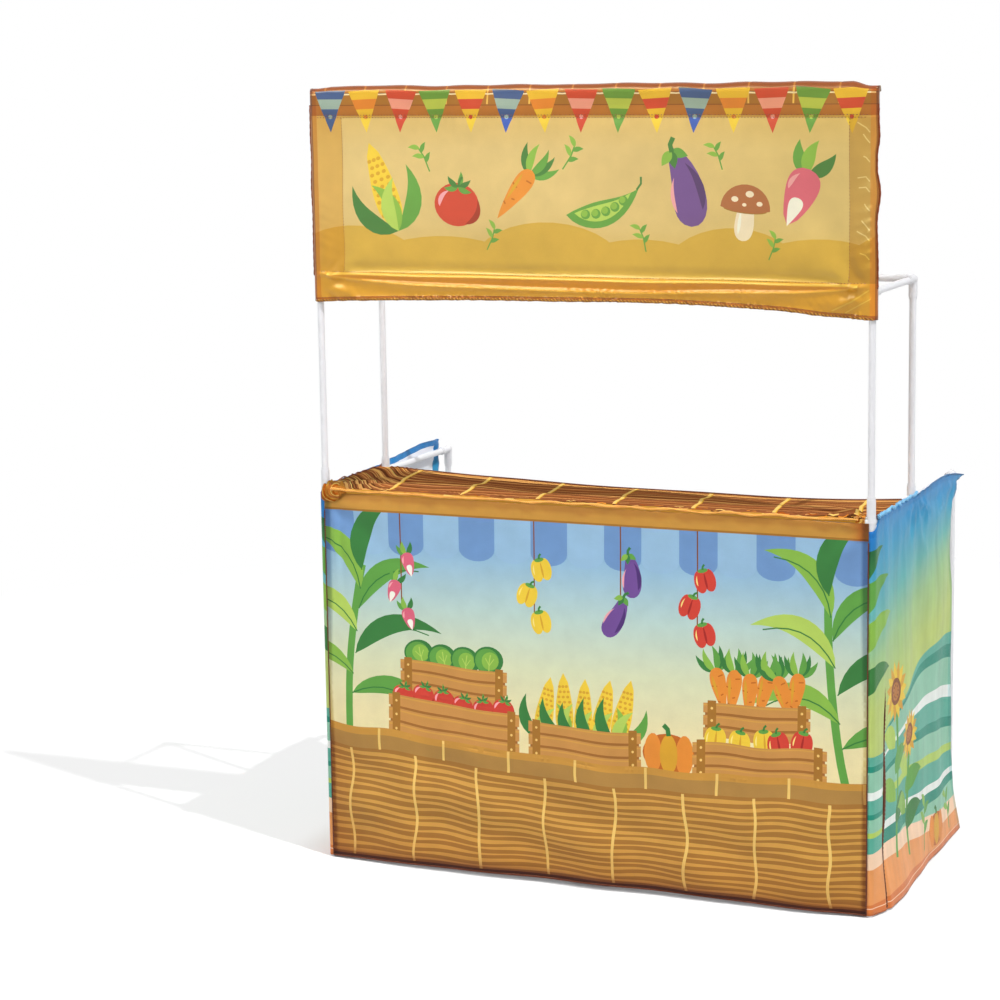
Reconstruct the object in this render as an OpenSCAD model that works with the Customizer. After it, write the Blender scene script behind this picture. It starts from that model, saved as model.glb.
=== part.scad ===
// Toy market stall: a push-fit frame of plastic tubes that carries a sewn cloth cover and a cloth header.
// Millimetres, +Z up, the customer's side towards -Y, origin on the floor in the middle of the outline.

/* [Frame] */
// Distance between the left and right post axes
post_w = 940; // [700:10:1200]
// Distance from the front posts to the back posts, which is the depth of the counter
counter_d = 230; // [160:5:300]
// Distance from the front legs to the rear legs
side_d = 490; // [400:5:700]
// Height of the counter rails at their axis
counter_h = 630; // [450:5:750]
// Height of the canopy rails at their axis
canopy_h = 985; // [880:5:1100]
// Height of the header's top rail at its axis
top_h = 1287; // [1220:1:1500]

/* [Tubes] */
// Outer diameter of every tube
tube_d = 11; // [9:0.5:14]
// Wall of every tube
tube_wall = 1.2; // [0.8:0.1:2]

/* [Connectors] */
// Wall of a socket
socket_wall = 1.5; // [1:0.1:2.5]
// Radial clearance between a tube and its socket
socket_gap = 0.05; // [0.03:0.01:0.1]
// Length of a socket from the middle of its connector to its mouth
socket_len = 32; // [26:1:45]
// Length of the upright socket at a front corner of the counter
front_socket_len = 40; // [30:1:55]
// Length of the upright socket at a back corner of the counter
back_socket_len = 25; // [20:1:40]
// Distance from the middle of a connector to the seat of each tube
seat_h = 9; // [8.5:0.5:12]
// Gap between a tube's end and its seat
seat_gap = 0.3; // [0.1:0.1:1]
// How far the round hub stands out past the sockets
hub_swell = 0.5; // [0.3:0.1:1]
// Length of the thinner lip at the mouth of a socket
lip_len = 4; // [2:0.5:6]
// Wall of that lip
lip_wall = 0.8; // [0.5:0.1:0.9]
// How far a flat foot reaches down past its hub
foot_h = 1.5; // [1:0.1:4]
// Thickness of the web in the middle of a straight coupler
coupler_web = 3; // [2:0.5:6]

/* [Cloth] */
// Thickness of the cloth with its seams
cloth_t = 1; // [0.6:0.1:1.5]
// Clearance between the cloth and the connectors under it
cloth_gap = 0.4; // [0.3:0.1:1]
// Height of the cover's bottom hem above the floor
hem_h = 3; // [2:0.5:10]
// How far in from the post axis the corner seams lie on the front
seam_in = 4; // [2:0.5:8]
// Depth of the hanging folds in the front panel
front_fold = 4; // [0:0.5:8]
// How far the slack front panel bellies out at its bottom hem
front_belly = 20; // [0:1:30]
// Depth of the hanging folds in the side panels
side_fold = 3; // [0:0.5:6]
// How far the counter cloth sags at the middle of its back edge
counter_sag = 20; // [5:1:35]
// How far the wings reach past the axes of the rear legs at their top and bottom corners
wing_reach = 30; // [12:1:40]
// How far the rear edge of a wing is drawn in between those corners
wing_draw = 54; // [0:1:70]

/* [Header] */
// How far the header hangs below the canopy rail at its ends
header_drop = 35; // [30:1:60]
// How far the bottom edge of the header rises in its middle
header_rise = 13; // [0:1:16]
// Depth of the folds in the header
header_fold = 3; // [0:0.5:6]
// Width of the sewn sleeves round the header's tubes
sleeve_w = 46; // [40:1:60]
// How far the seam of the bottom sleeve lies above the canopy rail
seam_rise = 14; // [12:1:30]

/* [Hidden] */
$fn = 48;

// Sides of the stall and the directions of the sockets
left = -1;
right = 1;
east = [1, 0, 0];
north = [0, 1, 0];
up = [0, 0, 1];

// Overrun of the cuts
cut = 1;

// Sizes that follow from the tubes and connectors
tube_r = tube_d / 2;
socket_r = tube_r + socket_gap;
barrel_r = socket_r + socket_wall;
lip_r = socket_r + lip_wall;
hub_r = barrel_r + hub_swell;
base_h = hub_r + foot_h;

// Distance from a post axis to the inner face of the cloth, and to its outer face
skin_r = hub_r + cloth_gap;
face_r = skin_r + cloth_t;

// Places of the posts: the outline's middle lies at the origin
front_reach = face_r + front_fold + front_belly;
post_x = post_w / 2;
front_y = -(side_d + wing_reach - front_reach) / 2;
back_y = front_y + counter_d;
rear_y = front_y + side_d;

// Grids of the cloth sheets
front_cols = 41;
front_rows = 11;
side_cols = 18;
side_rows = 9;
corner_steps = 3;
counter_cols = 25;
counter_rows = 6;
header_cols = 29;
header_rows = 7;

// Hanging folds: how many lie across each panel
front_folds = 5;
side_folds = 2;
header_folds = 4;

// Part of the front panel's height over which it goes slack
slack_share = 0.85;

// Part of a socket's radius, up and down from the rail, that the bottom sleeve lies along
flank_share = 0.7;

// Corner of the counter cloth that is cut out round a post
notch_w = barrel_r + cloth_gap;

// Turns +Z to one of the six axis directions
function tilt(d) =
    d.z > 0 ? [0, 0, 0]
    : d.z < 0 ? [180, 0, 0]
    : d.x != 0 ? [0, 90 * d.x, 0]
    : [-90 * d.y, 0, 0];

// Smooth step from 0 to 1
function ease(t) = let (s = min(1, max(0, t))) s * s * (3 - 2 * s);

// Round hump that is 0 at both ends of 0 to 1 and 1 in the middle
function hump(t) = 4 * t * (1 - t);

// Even hanging folds along 0 to 1, each from 0 to 1 deep, flat at both ends
function folds(t, count) = (1 - cos(360 * count * t)) / 2;

module tube(start, direction, length) {
    translate(start) rotate(tilt(direction)) difference() {
        cylinder(r = tube_r, h = length);
        translate([0, 0, -cut]) cylinder(r = tube_r - tube_wall, h = length + 2 * cut);
    }
}

// Tube between the middles of two connectors that lie span apart
module seated_tube(start, direction, span) {
    tube(start + direction * (seat_h + seat_gap), direction, span - 2 * (seat_h + seat_gap));
}

// Half of a long cross rail, from the coupler in the middle to the connector on one side
module cross_tube(side, y, z) {
    inner = coupler_web / 2 + seat_gap;
    tube([side * inner, y, z], side * east, post_x - seat_h - seat_gap - inner);
}

// Socket as a solid, with its thinner lip at the mouth
module barrel(length) {
    cylinder(r = barrel_r, h = length - lip_len);
    cylinder(r = lip_r, h = length);
}

// Push-fit connector with one socket for each arm, an arm being a direction and a length
module connector(place, arms) {
    translate(place) difference() {
        union() {
            sphere(r = hub_r);
            for (arm = arms) rotate(tilt(arm[0])) barrel(arm[1]);
        }
        for (arm = arms) rotate(tilt(arm[0])) translate([0, 0, seat_h]) cylinder(r = socket_r, h = arm[1]);
    }
}

// Flat foot under a base connector
module foot(x, y) {
    translate([x, y, 0]) cylinder(r = barrel_r, h = base_h);
}

// Straight coupler in the middle of a cross rail
module coupler(y, z) {
    translate([0, y, z]) for (side = [left, right]) rotate(tilt(side * east)) difference() {
        barrel(socket_len);
        translate([0, 0, coupler_web / 2]) cylinder(r = socket_r, h = socket_len);
    }
}

module base_corner(side) {
    color("white") union() {
        connector(
            [side * post_x, front_y, base_h],
            [[-side * east, socket_len], [north, socket_len], [up, socket_len]]
        );
        foot(side * post_x, front_y);
    }
}

module base_rear_elbow(side) {
    color("white") union() {
        connector([side * post_x, rear_y, base_h], [[-north, socket_len], [up, socket_len]]);
        foot(side * post_x, rear_y);
    }
}

module base_front_tube(side) {
    color("white") cross_tube(side, front_y, base_h);
}

module base_front_coupler() {
    color("white") coupler(front_y, base_h);
}

module base_side_tube(side) {
    color("white") seated_tube([side * post_x, front_y, base_h], north, side_d);
}

module front_leg(side) {
    color("white") seated_tube([side * post_x, front_y, base_h], up, counter_h - base_h);
}

module rear_leg(side) {
    color("white") seated_tube([side * post_x, rear_y, base_h], up, counter_h - base_h);
}

module counter_corner(side) {
    color("white") connector(
        [side * post_x, front_y, counter_h],
        [[-side * east, socket_len], [north, socket_len], [-up, socket_len], [up, front_socket_len]]
    );
}

module counter_tee(side) {
    color("white") connector(
        [side * post_x, back_y, counter_h],
        [[-north, socket_len], [north, socket_len], [up, back_socket_len]]
    );
}

module counter_front_tube(side) {
    color("white") cross_tube(side, front_y, counter_h);
}

module counter_front_coupler() {
    color("white") coupler(front_y, counter_h);
}

module counter_side_tube(side) {
    color("white") seated_tube([side * post_x, front_y, counter_h], north, counter_d);
}

module wing_tube(side) {
    color("white") seated_tube([side * post_x, back_y, counter_h], north, side_d - counter_d);
}

module wing_elbow(side) {
    color("white") connector([side * post_x, rear_y, counter_h], [[-north, socket_len], [-up, socket_len]]);
}

module front_post(side) {
    color("white") seated_tube([side * post_x, front_y, counter_h], up, canopy_h - counter_h);
}

module back_post(side) {
    color("white") seated_tube([side * post_x, back_y, counter_h], up, canopy_h - counter_h);
}

module canopy_tee(side) {
    color("white") connector(
        [side * post_x, front_y, canopy_h],
        [[-side * east, socket_len], [north, socket_len], [-up, socket_len], [up, socket_len]]
    );
}

module canopy_corner(side) {
    color("white") connector(
        [side * post_x, back_y, canopy_h],
        [[-side * east, socket_len], [-north, socket_len], [-up, socket_len]]
    );
}

module canopy_front_tube(side) {
    color("white") cross_tube(side, front_y, canopy_h);
}

module canopy_front_coupler() {
    color("white") coupler(front_y, canopy_h);
}

module canopy_back_tube(side) {
    color("white") cross_tube(side, back_y, canopy_h);
}

module canopy_back_coupler() {
    color("white") coupler(back_y, canopy_h);
}

module canopy_side_tube(side) {
    color("white") seated_tube([side * post_x, front_y, canopy_h], north, counter_d);
}

module header_post(side) {
    color("white") seated_tube([side * post_x, front_y, canopy_h], up, top_h - canopy_h);
}

module header_elbow(side) {
    color("white") connector(
        [side * post_x, front_y, top_h],
        [[-side * east, socket_len], [-up, socket_len]]
    );
}

module header_top_tube(side) {
    color("white") cross_tube(side, front_y, top_h);
}

module header_top_coupler() {
    color("white") coupler(front_y, top_h);
}

// Closed sheet between two grids of points, listed row by row. Seen from the outer side, the columns
// run to the right and the rows run up.
module sheet(inner, outer, cols, rows) {
    n = cols * rows;
    bends = [
        for (r = [0 : rows - 2], c = [0 : cols - 2])
            let (a = r * cols + c, b = a + 1, d = a + cols, e = d + 1)
                each [[n + a, n + d, n + e], [n + a, n + e, n + b], [a, e, d], [a, b, e]]
    ];
    ends = [
        for (c = [0 : cols - 2])
            let (a = c, b = c + 1, d = (rows - 1) * cols + c, e = d + 1)
                each [[n + a, n + b, b], [n + a, b, a], [n + e, n + d, d], [n + e, d, e]]
    ];
    edges = [
        for (r = [0 : rows - 2])
            let (a = r * cols, d = a + cols, b = a + cols - 1, e = d + cols - 1)
                each [[n + d, n + a, a], [n + d, a, d], [n + b, n + e, e], [n + b, e, b]]
    ];
    polyhedron(points = concat(inner, outer), faces = concat(bends, ends, edges));
}

// Shares of 0 to 1 along a grid's columns or rows
function steps(count) = [for (i = [0 : count - 1]) i / (count - 1)];

// How far the front panel stands out from the legs: it is flat at the rail and slack at the hem
function front_out(u, v) =
    hump(u) * ease((1 - v) / slack_share) * (front_belly + front_fold * folds(u, front_folds));

function front_point(u, v, depth) = [
    (2 * u - 1) * (post_x - seam_in),
    front_y - depth - front_out(u, v),
    hem_h + v * (counter_h - hem_h)
];

module front_panel() {
    grid = [for (v = steps(front_rows), u = steps(front_cols)) [u, v]];
    color("sandybrown") sheet(
        [for (g = grid) front_point(g[0], g[1], skin_r)],
        [for (g = grid) front_point(g[0], g[1], face_r)],
        front_cols, front_rows
    );
}

// Counter cloth: it rolls over the front rail and then sags towards its free back edge
function counter_profile(depth) = concat(
    [for (s = steps(corner_steps + 1)) [front_y - depth * cos(90 * s), counter_h + depth * sin(90 * s), 0]],
    [
        for (i = [1 : counter_rows])
            let (s = i / counter_rows) [front_y + s * (counter_d + skin_r), counter_h + depth, ease(s)]
    ]
);

function counter_points(depth) = [
    for (p = counter_profile(depth), u = steps(counter_cols))
        [(2 * u - 1) * (post_x + skin_r), p[0], p[1] - counter_sag * hump(u) * p[2]]
];

module counter_panel() {
    notch = [notch_w + skin_r + cut, notch_w + face_r + cut, 2 * (counter_sag + face_r)];
    rows = corner_steps + 1 + counter_rows;
    color("saddlebrown") difference() {
        sheet(counter_points(skin_r), counter_points(face_r), counter_cols, rows);
        for (side = [left, right]) {
            translate([side * (post_x - notch_w + notch.x / 2), front_y + notch_w - notch.y / 2, counter_h])
                cube(notch, center = true);
            translate([side * (post_x - notch_w + notch.x / 2), back_y - notch_w + notch.y / 2, counter_h])
                cube(notch, center = true);
        }
    }
}

// Path of a side panel seen from above, as place, outward direction and share of the straight run: from
// the corner seam, round the front leg and back to the rear edge, which is drawn in between its corners
function wing_end(v) = wing_reach - wing_draw * hump(v * v);

function side_path(v) = concat(
    [[[post_x - seam_in, front_y], -north, 0]],
    [
        for (s = steps(corner_steps + 1))
            [[post_x, front_y], [sin(90 * s), -cos(90 * s), 0], 0]
    ],
    [
        for (i = [1 : side_cols])
            let (s = i / side_cols) [[post_x, front_y + s * (side_d + wing_end(v))], east, s]
    ]
);

function side_points(depth) = [
    for (v = steps(side_rows), p = side_path(v))
        let (out = depth + side_fold * folds(p[2], side_folds) * hump(v))
            [p[0].x + p[1].x * out, p[0].y + p[1].y * out, hem_h + v * (counter_h + face_r - hem_h)]
];

module side_panel(side) {
    color("mediumturquoise") mirror([side == left ? 1 : 0, 0, 0])
        sheet(side_points(skin_r), side_points(face_r), side_cols + corner_steps + 2, side_rows);
}

// Front sheet of the header, whose bottom edge rises in the middle
function header_bottom(u) = canopy_h - header_drop + header_rise * hump(u);

function header_point(u, v, depth) = [
    (2 * u - 1) * post_x,
    front_y - depth - header_fold * folds(u, header_folds) * hump(v),
    header_bottom(u) + v * (top_h - header_bottom(u))
];

module header_panel() {
    grid = [for (v = steps(header_rows), u = steps(header_cols)) [u, v]];
    color("goldenrod") sheet(
        [for (g = grid) header_point(g[0], g[1], skin_r)],
        [for (g = grid) header_point(g[0], g[1], face_r)],
        header_cols, header_rows
    );
}

// Half of a cloth ring round a tube, open towards -Y
module half_ring() {
    difference() {
        circle(r = face_r);
        circle(r = skin_r);
        translate([0, -face_r - cut]) square([2 * (face_r + cut), 2 * (face_r + cut)], center = true);
    }
}

// Back layer of a sleeve, from the half ring to the seam where it meets the front sheet
module sleeve_flap(length) {
    polygon([[skin_r, 0], [face_r, 0], [-skin_r + cloth_t, -length], [-skin_r, -length]]);
}

module header_top_sleeve() {
    flap_w = 2 * (post_x - face_r - cloth_gap);
    cap_w = 2 * (post_x + face_r);
    color("goldenrod") translate([0, front_y, top_h]) rotate([90, 0, 90]) union() {
        translate([0, 0, -cap_w / 2]) linear_extrude(height = cap_w) half_ring();
        translate([0, 0, -flap_w / 2]) linear_extrude(height = flap_w) sleeve_flap(sleeve_w - face_r);
    }
}

// Back layer of the bottom sleeve, as rows from the front sheet's lower edge, behind the rail and up to
// the seam
function hem_rows(u, depth, lap) = [
    [-skin_r, header_bottom(u) + 2 * cloth_t - lap],
    [depth, canopy_h - flank_share * barrel_r],
    [depth, canopy_h + flank_share * barrel_r],
    [-skin_r, canopy_h + seam_rise + lap]
];

function hem_points(depth, lap) = [
    for (row = [0 : len(hem_rows(0, depth, lap)) - 1], u = steps(header_cols))
        let (p = hem_rows(u, depth, lap)[row])
            [(1 - 2 * u) * (post_x - face_r - cloth_gap), front_y + p[0], p[1]]
];

module header_bottom_sleeve() {
    rows = len(hem_rows(0, 0, 0));
    color("goldenrod") sheet(hem_points(skin_r, 0), hem_points(face_r, 2 * cloth_t), header_cols, rows);
}

module header_side_sleeve(side) {
    low = canopy_h + seam_rise + 2 * cloth_t + cloth_gap;
    long = top_h - sleeve_w - low;
    color("goldenrod") mirror([side == right ? 1 : 0, 0, 0])
        translate([-post_x, front_y, low]) rotate(90) union() {
            linear_extrude(height = long) half_ring();
            linear_extrude(height = long) sleeve_flap(sleeve_w - face_r);
        }
}

base_corner(left);  // base_corner_left
base_corner(right);  // base_corner_right
base_rear_elbow(left);  // base_rear_elbow_left
base_rear_elbow(right);  // base_rear_elbow_right
base_front_tube(left);  // base_front_tube_left
base_front_tube(right);  // base_front_tube_right
base_front_coupler();
base_side_tube(left);  // base_side_tube_left
base_side_tube(right);  // base_side_tube_right
front_leg(left);  // front_leg_left
front_leg(right);  // front_leg_right
rear_leg(left);  // rear_leg_left
rear_leg(right);  // rear_leg_right
counter_corner(left);  // counter_corner_left
counter_corner(right);  // counter_corner_right
counter_tee(left);  // counter_tee_left
counter_tee(right);  // counter_tee_right
counter_front_tube(left);  // counter_front_tube_left
counter_front_tube(right);  // counter_front_tube_right
counter_front_coupler();
counter_side_tube(left);  // counter_side_tube_left
counter_side_tube(right);  // counter_side_tube_right
wing_tube(left);  // wing_tube_left
wing_tube(right);  // wing_tube_right
wing_elbow(left);  // wing_elbow_left
wing_elbow(right);  // wing_elbow_right
front_post(left);  // front_post_left
front_post(right);  // front_post_right
back_post(left);  // back_post_left
back_post(right);  // back_post_right
canopy_tee(left);  // canopy_tee_left
canopy_tee(right);  // canopy_tee_right
canopy_corner(left);  // canopy_corner_left
canopy_corner(right);  // canopy_corner_right
canopy_front_tube(left);  // canopy_front_tube_left
canopy_front_tube(right);  // canopy_front_tube_right
canopy_front_coupler();
canopy_back_tube(left);  // canopy_back_tube_left
canopy_back_tube(right);  // canopy_back_tube_right
canopy_back_coupler();
canopy_side_tube(left);  // canopy_side_tube_left
canopy_side_tube(right);  // canopy_side_tube_right
header_post(left);  // header_post_left
header_post(right);  // header_post_right
header_elbow(left);  // header_elbow_left
header_elbow(right);  // header_elbow_right
header_top_tube(left);  // header_top_tube_left
header_top_tube(right);  // header_top_tube_right
header_top_coupler();
front_panel();
counter_panel();
side_panel(left);  // side_panel_left
side_panel(right);  // side_panel_right
header_panel();
header_top_sleeve();
header_bottom_sleeve();
header_side_sleeve(left);  // header_side_sleeve_left
header_side_sleeve(right);  // header_side_sleeve_right
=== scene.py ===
# Toy market stall: a white push-fit tube frame, a printed cloth cover and a printed cloth header
import math

import bpy
import numpy as np
from mathutils import Matrix, Vector, geometry


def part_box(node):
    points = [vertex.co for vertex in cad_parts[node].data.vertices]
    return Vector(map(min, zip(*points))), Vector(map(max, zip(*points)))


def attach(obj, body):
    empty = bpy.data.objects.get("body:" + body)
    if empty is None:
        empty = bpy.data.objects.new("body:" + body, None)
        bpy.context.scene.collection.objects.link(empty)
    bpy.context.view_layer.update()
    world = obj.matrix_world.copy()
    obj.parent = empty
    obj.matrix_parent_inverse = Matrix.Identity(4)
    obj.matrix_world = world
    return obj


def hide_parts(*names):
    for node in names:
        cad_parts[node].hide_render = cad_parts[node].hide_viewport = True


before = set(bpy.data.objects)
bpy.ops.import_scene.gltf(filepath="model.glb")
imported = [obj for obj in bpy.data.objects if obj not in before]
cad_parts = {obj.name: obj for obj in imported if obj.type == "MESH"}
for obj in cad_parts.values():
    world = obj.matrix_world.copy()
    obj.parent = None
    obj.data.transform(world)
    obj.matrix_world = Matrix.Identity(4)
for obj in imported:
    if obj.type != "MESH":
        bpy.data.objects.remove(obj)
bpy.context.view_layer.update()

bpy.ops.object.select_all(action="DESELECT")
print("frame loaded with", len(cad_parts), "nodes")


# Places that come from the frame, in metres
def middleOf(node):
    low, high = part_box(node)
    return (low + high) / 2


postX = middleOf("front_post_right").x
frontY = middleOf("front_post_right").y
backY = middleOf("back_post_right").y
rearY = middleOf("rear_leg_right").y
counterZ = middleOf("counter_side_tube_right").z
canopyZ = middleOf("canopy_side_tube_right").z
topZ = middleOf("header_top_tube_right").z

# Cloth: how far its outer face lies from a tube's axis, and how thick it is
clothSkin = 0.0088
clothThick = 0.0006
halfTurn = math.pi * clothSkin
quarterTurn = halfTurn / 2


# Colours as they look on a screen, turned to the values that the shaders use
paint = dict(
    gold="#d8bb79", goldDeep="#cca656", ochre="#d0a744", rust="#a85218", rustDark="#6a2a0e",
    beam="#c48f3c", beamDark="#a26e28", plank="#b3712d", plankDark="#84481b", tie="#e6c16a",
    slat="#cd9a46", slatDark="#a27030", ledge="#aa8040", hemBrown="#5a2b10",
    skyTop="#6c92c2", skyPale="#93b8d4", skyBand="#94bad2", sky="#b4cdc6", mist="#d2d7b2",
    cream="#e4d8a6", straw="#e8d9a2",
    blue="#2857b4", blueDeep="#173f8d", red="#cc3f31", redDeep="#9f2721", pink="#d9627a", rose="#eaa2a6",
    yellow="#e8c53a", amber="#d59f2c", lemon="#efdd80", orange="#e08a33", orangeDeep="#bf6420",
    leaf="#86b547", leafMid="#5d9c42", leafDeep="#37793a", lime="#b0cc5c",
    violet="#6d4a8f", violetDeep="#4b2f6c", cap="#ac6640", capPale="#eeddbf", white="#f2efe2",
    sideBlue="#2281c6", sideTeal="#3c9abf", sideSea="#66b0ac", sideGreen="#9cc186", sideGlow="#b8ca70",
    field="#1f8a74", fieldPale="#8cc2a6", fieldMint="#58a994", foam="#e9eee8",
    earth="#e6995a", earthPale="#f3cfae", earthDeep="#d8793c",
    topBrown="#8b5230", topRust="#9c5c32", topTan="#cf9654", topDark="#5c351c",
    # cyan and piping are pale, partly as painted highlights on the blue seam and the piping
    crate="#c48c48", crateDark="#9b642c", cyan="#a8e2f6", cyanDeep="#2f8fd0", piping="#ffcb62",
)


def linear(code):
    values = np.array([int(code[i:i + 2], 16) for i in (1, 3, 5)]) / 255
    return np.where(values <= 0.04045, values / 12.92, ((values + 0.055) / 1.055) ** 2.4)


ink = {name: linear(code) for name, code in paint.items()}


def gradient(t, stops, tones):
    # colours that run from stop to stop; a tone is the name of an ink, or a colour
    colours = np.array([ink[tone] if isinstance(tone, str) else tone for tone in tones])
    return np.stack([np.interp(t, stops, colours[:, k]) for k in range(3)], 1)


def toned(share, tint):
    # what is left of each colour where a tint takes its share away
    return 1 - share[:, None] * np.array(tint)


# Small shapes for curves and folds; t runs from 0 to 1
def smooth(t):
    t = np.clip(t, 0, 1)
    return t * t * (3 - 2 * t)


def hump(t):
    return 4 * t * (1 - t)


def bell(t):
    return np.exp(-t * t)


def columns(*values):
    return np.stack(values, 1)


def unit(vectors):
    # the same directions, each one long
    return vectors / np.maximum(np.linalg.norm(vectors, axis=1), 1e-12)[:, None]


def runAlong(line):
    # distance along a line at each of its points
    return np.concatenate([[0], np.cumsum(np.linalg.norm(np.diff(line, axis=0), axis=1))])


def curveThrough(t, places, values):
    # smooth curve through a few points, with the slopes of their neighbours
    places = np.array(places, float)
    values = np.array(values, float)
    slopes = np.gradient(values, places)
    i = np.clip(np.searchsorted(places, t) - 1, 0, len(places) - 2)
    gap = places[i + 1] - places[i]
    s = np.clip((t - places[i]) / gap, 0, 1)
    start = values[i] * (1 + 2 * s) * (1 - s) ** 2 + gap * slopes[i] * s * (1 - s) ** 2
    return start + values[i + 1] * s * s * (3 - 2 * s) + gap * slopes[i + 1] * s * s * (s - 1)


def ripples(x, y, length, seed, waves=8):
    # uneven waves in all directions, about length long, mostly within 1
    rng = np.random.default_rng(seed)
    total = 0
    for _ in range(waves):
        angle = rng.uniform(0, math.tau)
        size = length * rng.uniform(0.65, 1.6)
        phase = rng.uniform(0, math.tau)
        total = total + np.sin((x * math.cos(angle) + y * math.sin(angle)) * math.tau / size + phase)
    return total / math.sqrt(waves)


def puckers(along, away, pitch, reach, seed):
    # short folds that stand square to a seam and die out away from it
    rng = np.random.default_rng(seed)
    drift = ripples(along, 0, pitch * 5, rng.integers(1000)) * pitch * 0.8
    size = 0.55 + 0.45 * ripples(along, 0, pitch * 7, rng.integers(1000))
    return np.sin((along + drift) * math.tau / pitch) * size * np.exp(-np.abs(away) / reach)


def gathers(x, y, centreX, centreY, reach, count, seed):
    # folds that radiate from a point where the cloth is drawn together
    dx, dy = x - centreX, y - centreY
    away = np.hypot(dx, dy)
    angle = np.arctan2(dy, dx)
    bend = 0.5 * ripples(dx, dy, reach * 1.3, seed)
    return np.sin(count * angle + bend + seed) * (away / reach) * np.exp(1 - away / reach)


def crease(x, y, start, end, width):
    # one soft ridge along a line, pinched out at both ends
    line = np.array(end) - np.array(start)
    size = math.hypot(*line)
    along = ((x - start[0]) * line[0] + (y - start[1]) * line[1]) / size ** 2
    away = ((x - start[0]) * line[1] - (y - start[1]) * line[0]) / size
    return bell(away / width) * np.where((along > 0) & (along < 1), hump(np.clip(along, 0, 1)), 0)


# Flat shapes for the printed pattern, in metres on the cloth before it is hung
def spin(points, turn):
    c, s = math.cos(turn), math.sin(turn)
    return points @ np.array([[c, s], [-s, c]])


def disc(x, y, wide, tall, turn=0, corners=20):
    angle = np.linspace(0, math.tau, corners, endpoint=False)
    return spin(columns(wide / 2 * np.cos(angle), tall / 2 * np.sin(angle)), turn) + (x, y)


def slab(x0, y0, x1, y1):
    return np.array([(x0, y0), (x1, y0), (x1, y1), (x0, y1)], float)


def sides(spine, half):
    slope = unit(np.gradient(spine, axis=0))
    out = columns(-slope[:, 1], slope[:, 0]) * np.reshape(half, (-1, 1))
    return spine + out, (spine - out)[::-1]


def bowed(x0, y0, x1, y1, bow, t):
    across = np.array((y0 - y1, x1 - x0))
    return np.outer(1 - t, (x0, y0)) + np.outer(t, (x1, y1)) + np.outer(bow * hump(t), across)


def blade(x0, y0, x1, y1, width, bow=0.0, steps=10):
    # leaf that is pointed at both ends
    t = np.linspace(0, 1, steps)
    left, right = sides(bowed(x0, y0, x1, y1, bow, t), width / 2 * np.sin(math.pi * t ** 0.8))
    return np.concatenate([left, right[1:-1]])


def drop(x0, y0, x1, y1, width, power=0.6, bow=0.0, steps=12):
    # body with a tip at its first end and a round second end
    t = 1 - (1 - np.linspace(0, 1, steps)) ** 1.6
    half = width / 2 * t ** power * np.sqrt(np.clip(1 - t ** 5, 0, 1)) * 1.12
    left, right = sides(bowed(x0, y0, x1, y1, bow, t), half)
    return np.concatenate([left, right[1:-1]])


def ribbon(points, width):
    left, right = sides(np.array(points, float), width / 2)
    return np.concatenate([left, right])


def bandBetween(x0, x1, lowEdge, highEdge, steps):
    x = np.linspace(x0, x1, steps)
    low = columns(x, lowEdge(x))
    high = columns(x, highEdge(x))
    return np.concatenate([low, high[::-1]])


def stamp(parts, x, y, size, turn=0.0):
    return [(colour, spin(points * size, turn) + (x, y)) for colour, points in parts]


# Printed motifs, each drawn about one unit tall round its own middle
def fan(x, y, reaches, length, width, colours, bow=0.0):
    # leaves that spread from one point; reaches are angles from straight up
    parts = []
    for i, angle in enumerate(reaches):
        tipX = x + length * math.sin(angle)
        tipY = y + length * math.cos(angle)
        leaf = blade(x, y, tipX, tipY, width, bow * math.copysign(1, -angle))
        parts.append((colours[i % len(colours)], leaf))
    return parts


def carrot():
    marks = ((0.08, 0.09), (-0.06, -0.1), (-0.2, 0.05), (-0.3, -0.05))
    return [
        *fan(0.0, 0.14, (-0.75, 0.7, -0.35, 0.3, 0.0), 0.38, 0.1, ("leafDeep", "leafMid", "leaf"), 0.12),
        ("orange", drop(0.02, -0.52, 0, 0.2, 0.3, 0.8)),
        *[("orangeDeep", ribbon([(reach, y), (reach * 0.2, y - 0.015)], 0.018)) for y, reach in marks],
        ("amber", blade(-0.07, 0.1, -0.03, -0.28, 0.04)),
    ]


def tomato():
    return [
        ("red", disc(0, -0.05, 0.94, 0.82, 0, 26)),
        ("redDeep", blade(0.2, -0.4, 0.42, 0.12, 0.12, -0.25)),
        ("rose", blade(-0.36, -0.12, -0.18, 0.2, 0.09, 0.18)),
        *fan(0.0, 0.28, (-1.7, -0.9, 0.1, 1.0, 1.8), 0.3, 0.11, ("leafMid", "leafDeep"), 0.1),
        ("leafDeep", ribbon([(0, 0.28), (0.02, 0.4), (0.07, 0.48)], 0.05)),
    ]


def cornCob():
    cob = dict(rows=9, top=0.34, pitch=0.078, wide=0.34, tip=0.56)
    parts = fan(0.0, -0.5, (-0.5, 0.48), 0.75, 0.2, ("leafDeep", "leafMid"), 0.2)
    parts.append(("yellow", drop(0.0, 0.54, 0, -0.42, 0.36, 0.5)))
    for row in range(cob["rows"]):
        y = cob["top"] - row * cob["pitch"]
        wide = cob["wide"] * min(1, (cob["tip"] - y) * 1.6) ** 0.5
        for side in (-1, 0, 1):
            x = side * wide * 0.29 + (row % 2 - 0.5) * 0.02
            parts.append(("amber", disc(x, y, 0.055, 0.045, 0, 7)))
    return parts + fan(0.0, -0.5, (-0.22, 0.25), 0.6, 0.17, ("leaf", "lime"), -0.16)


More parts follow.
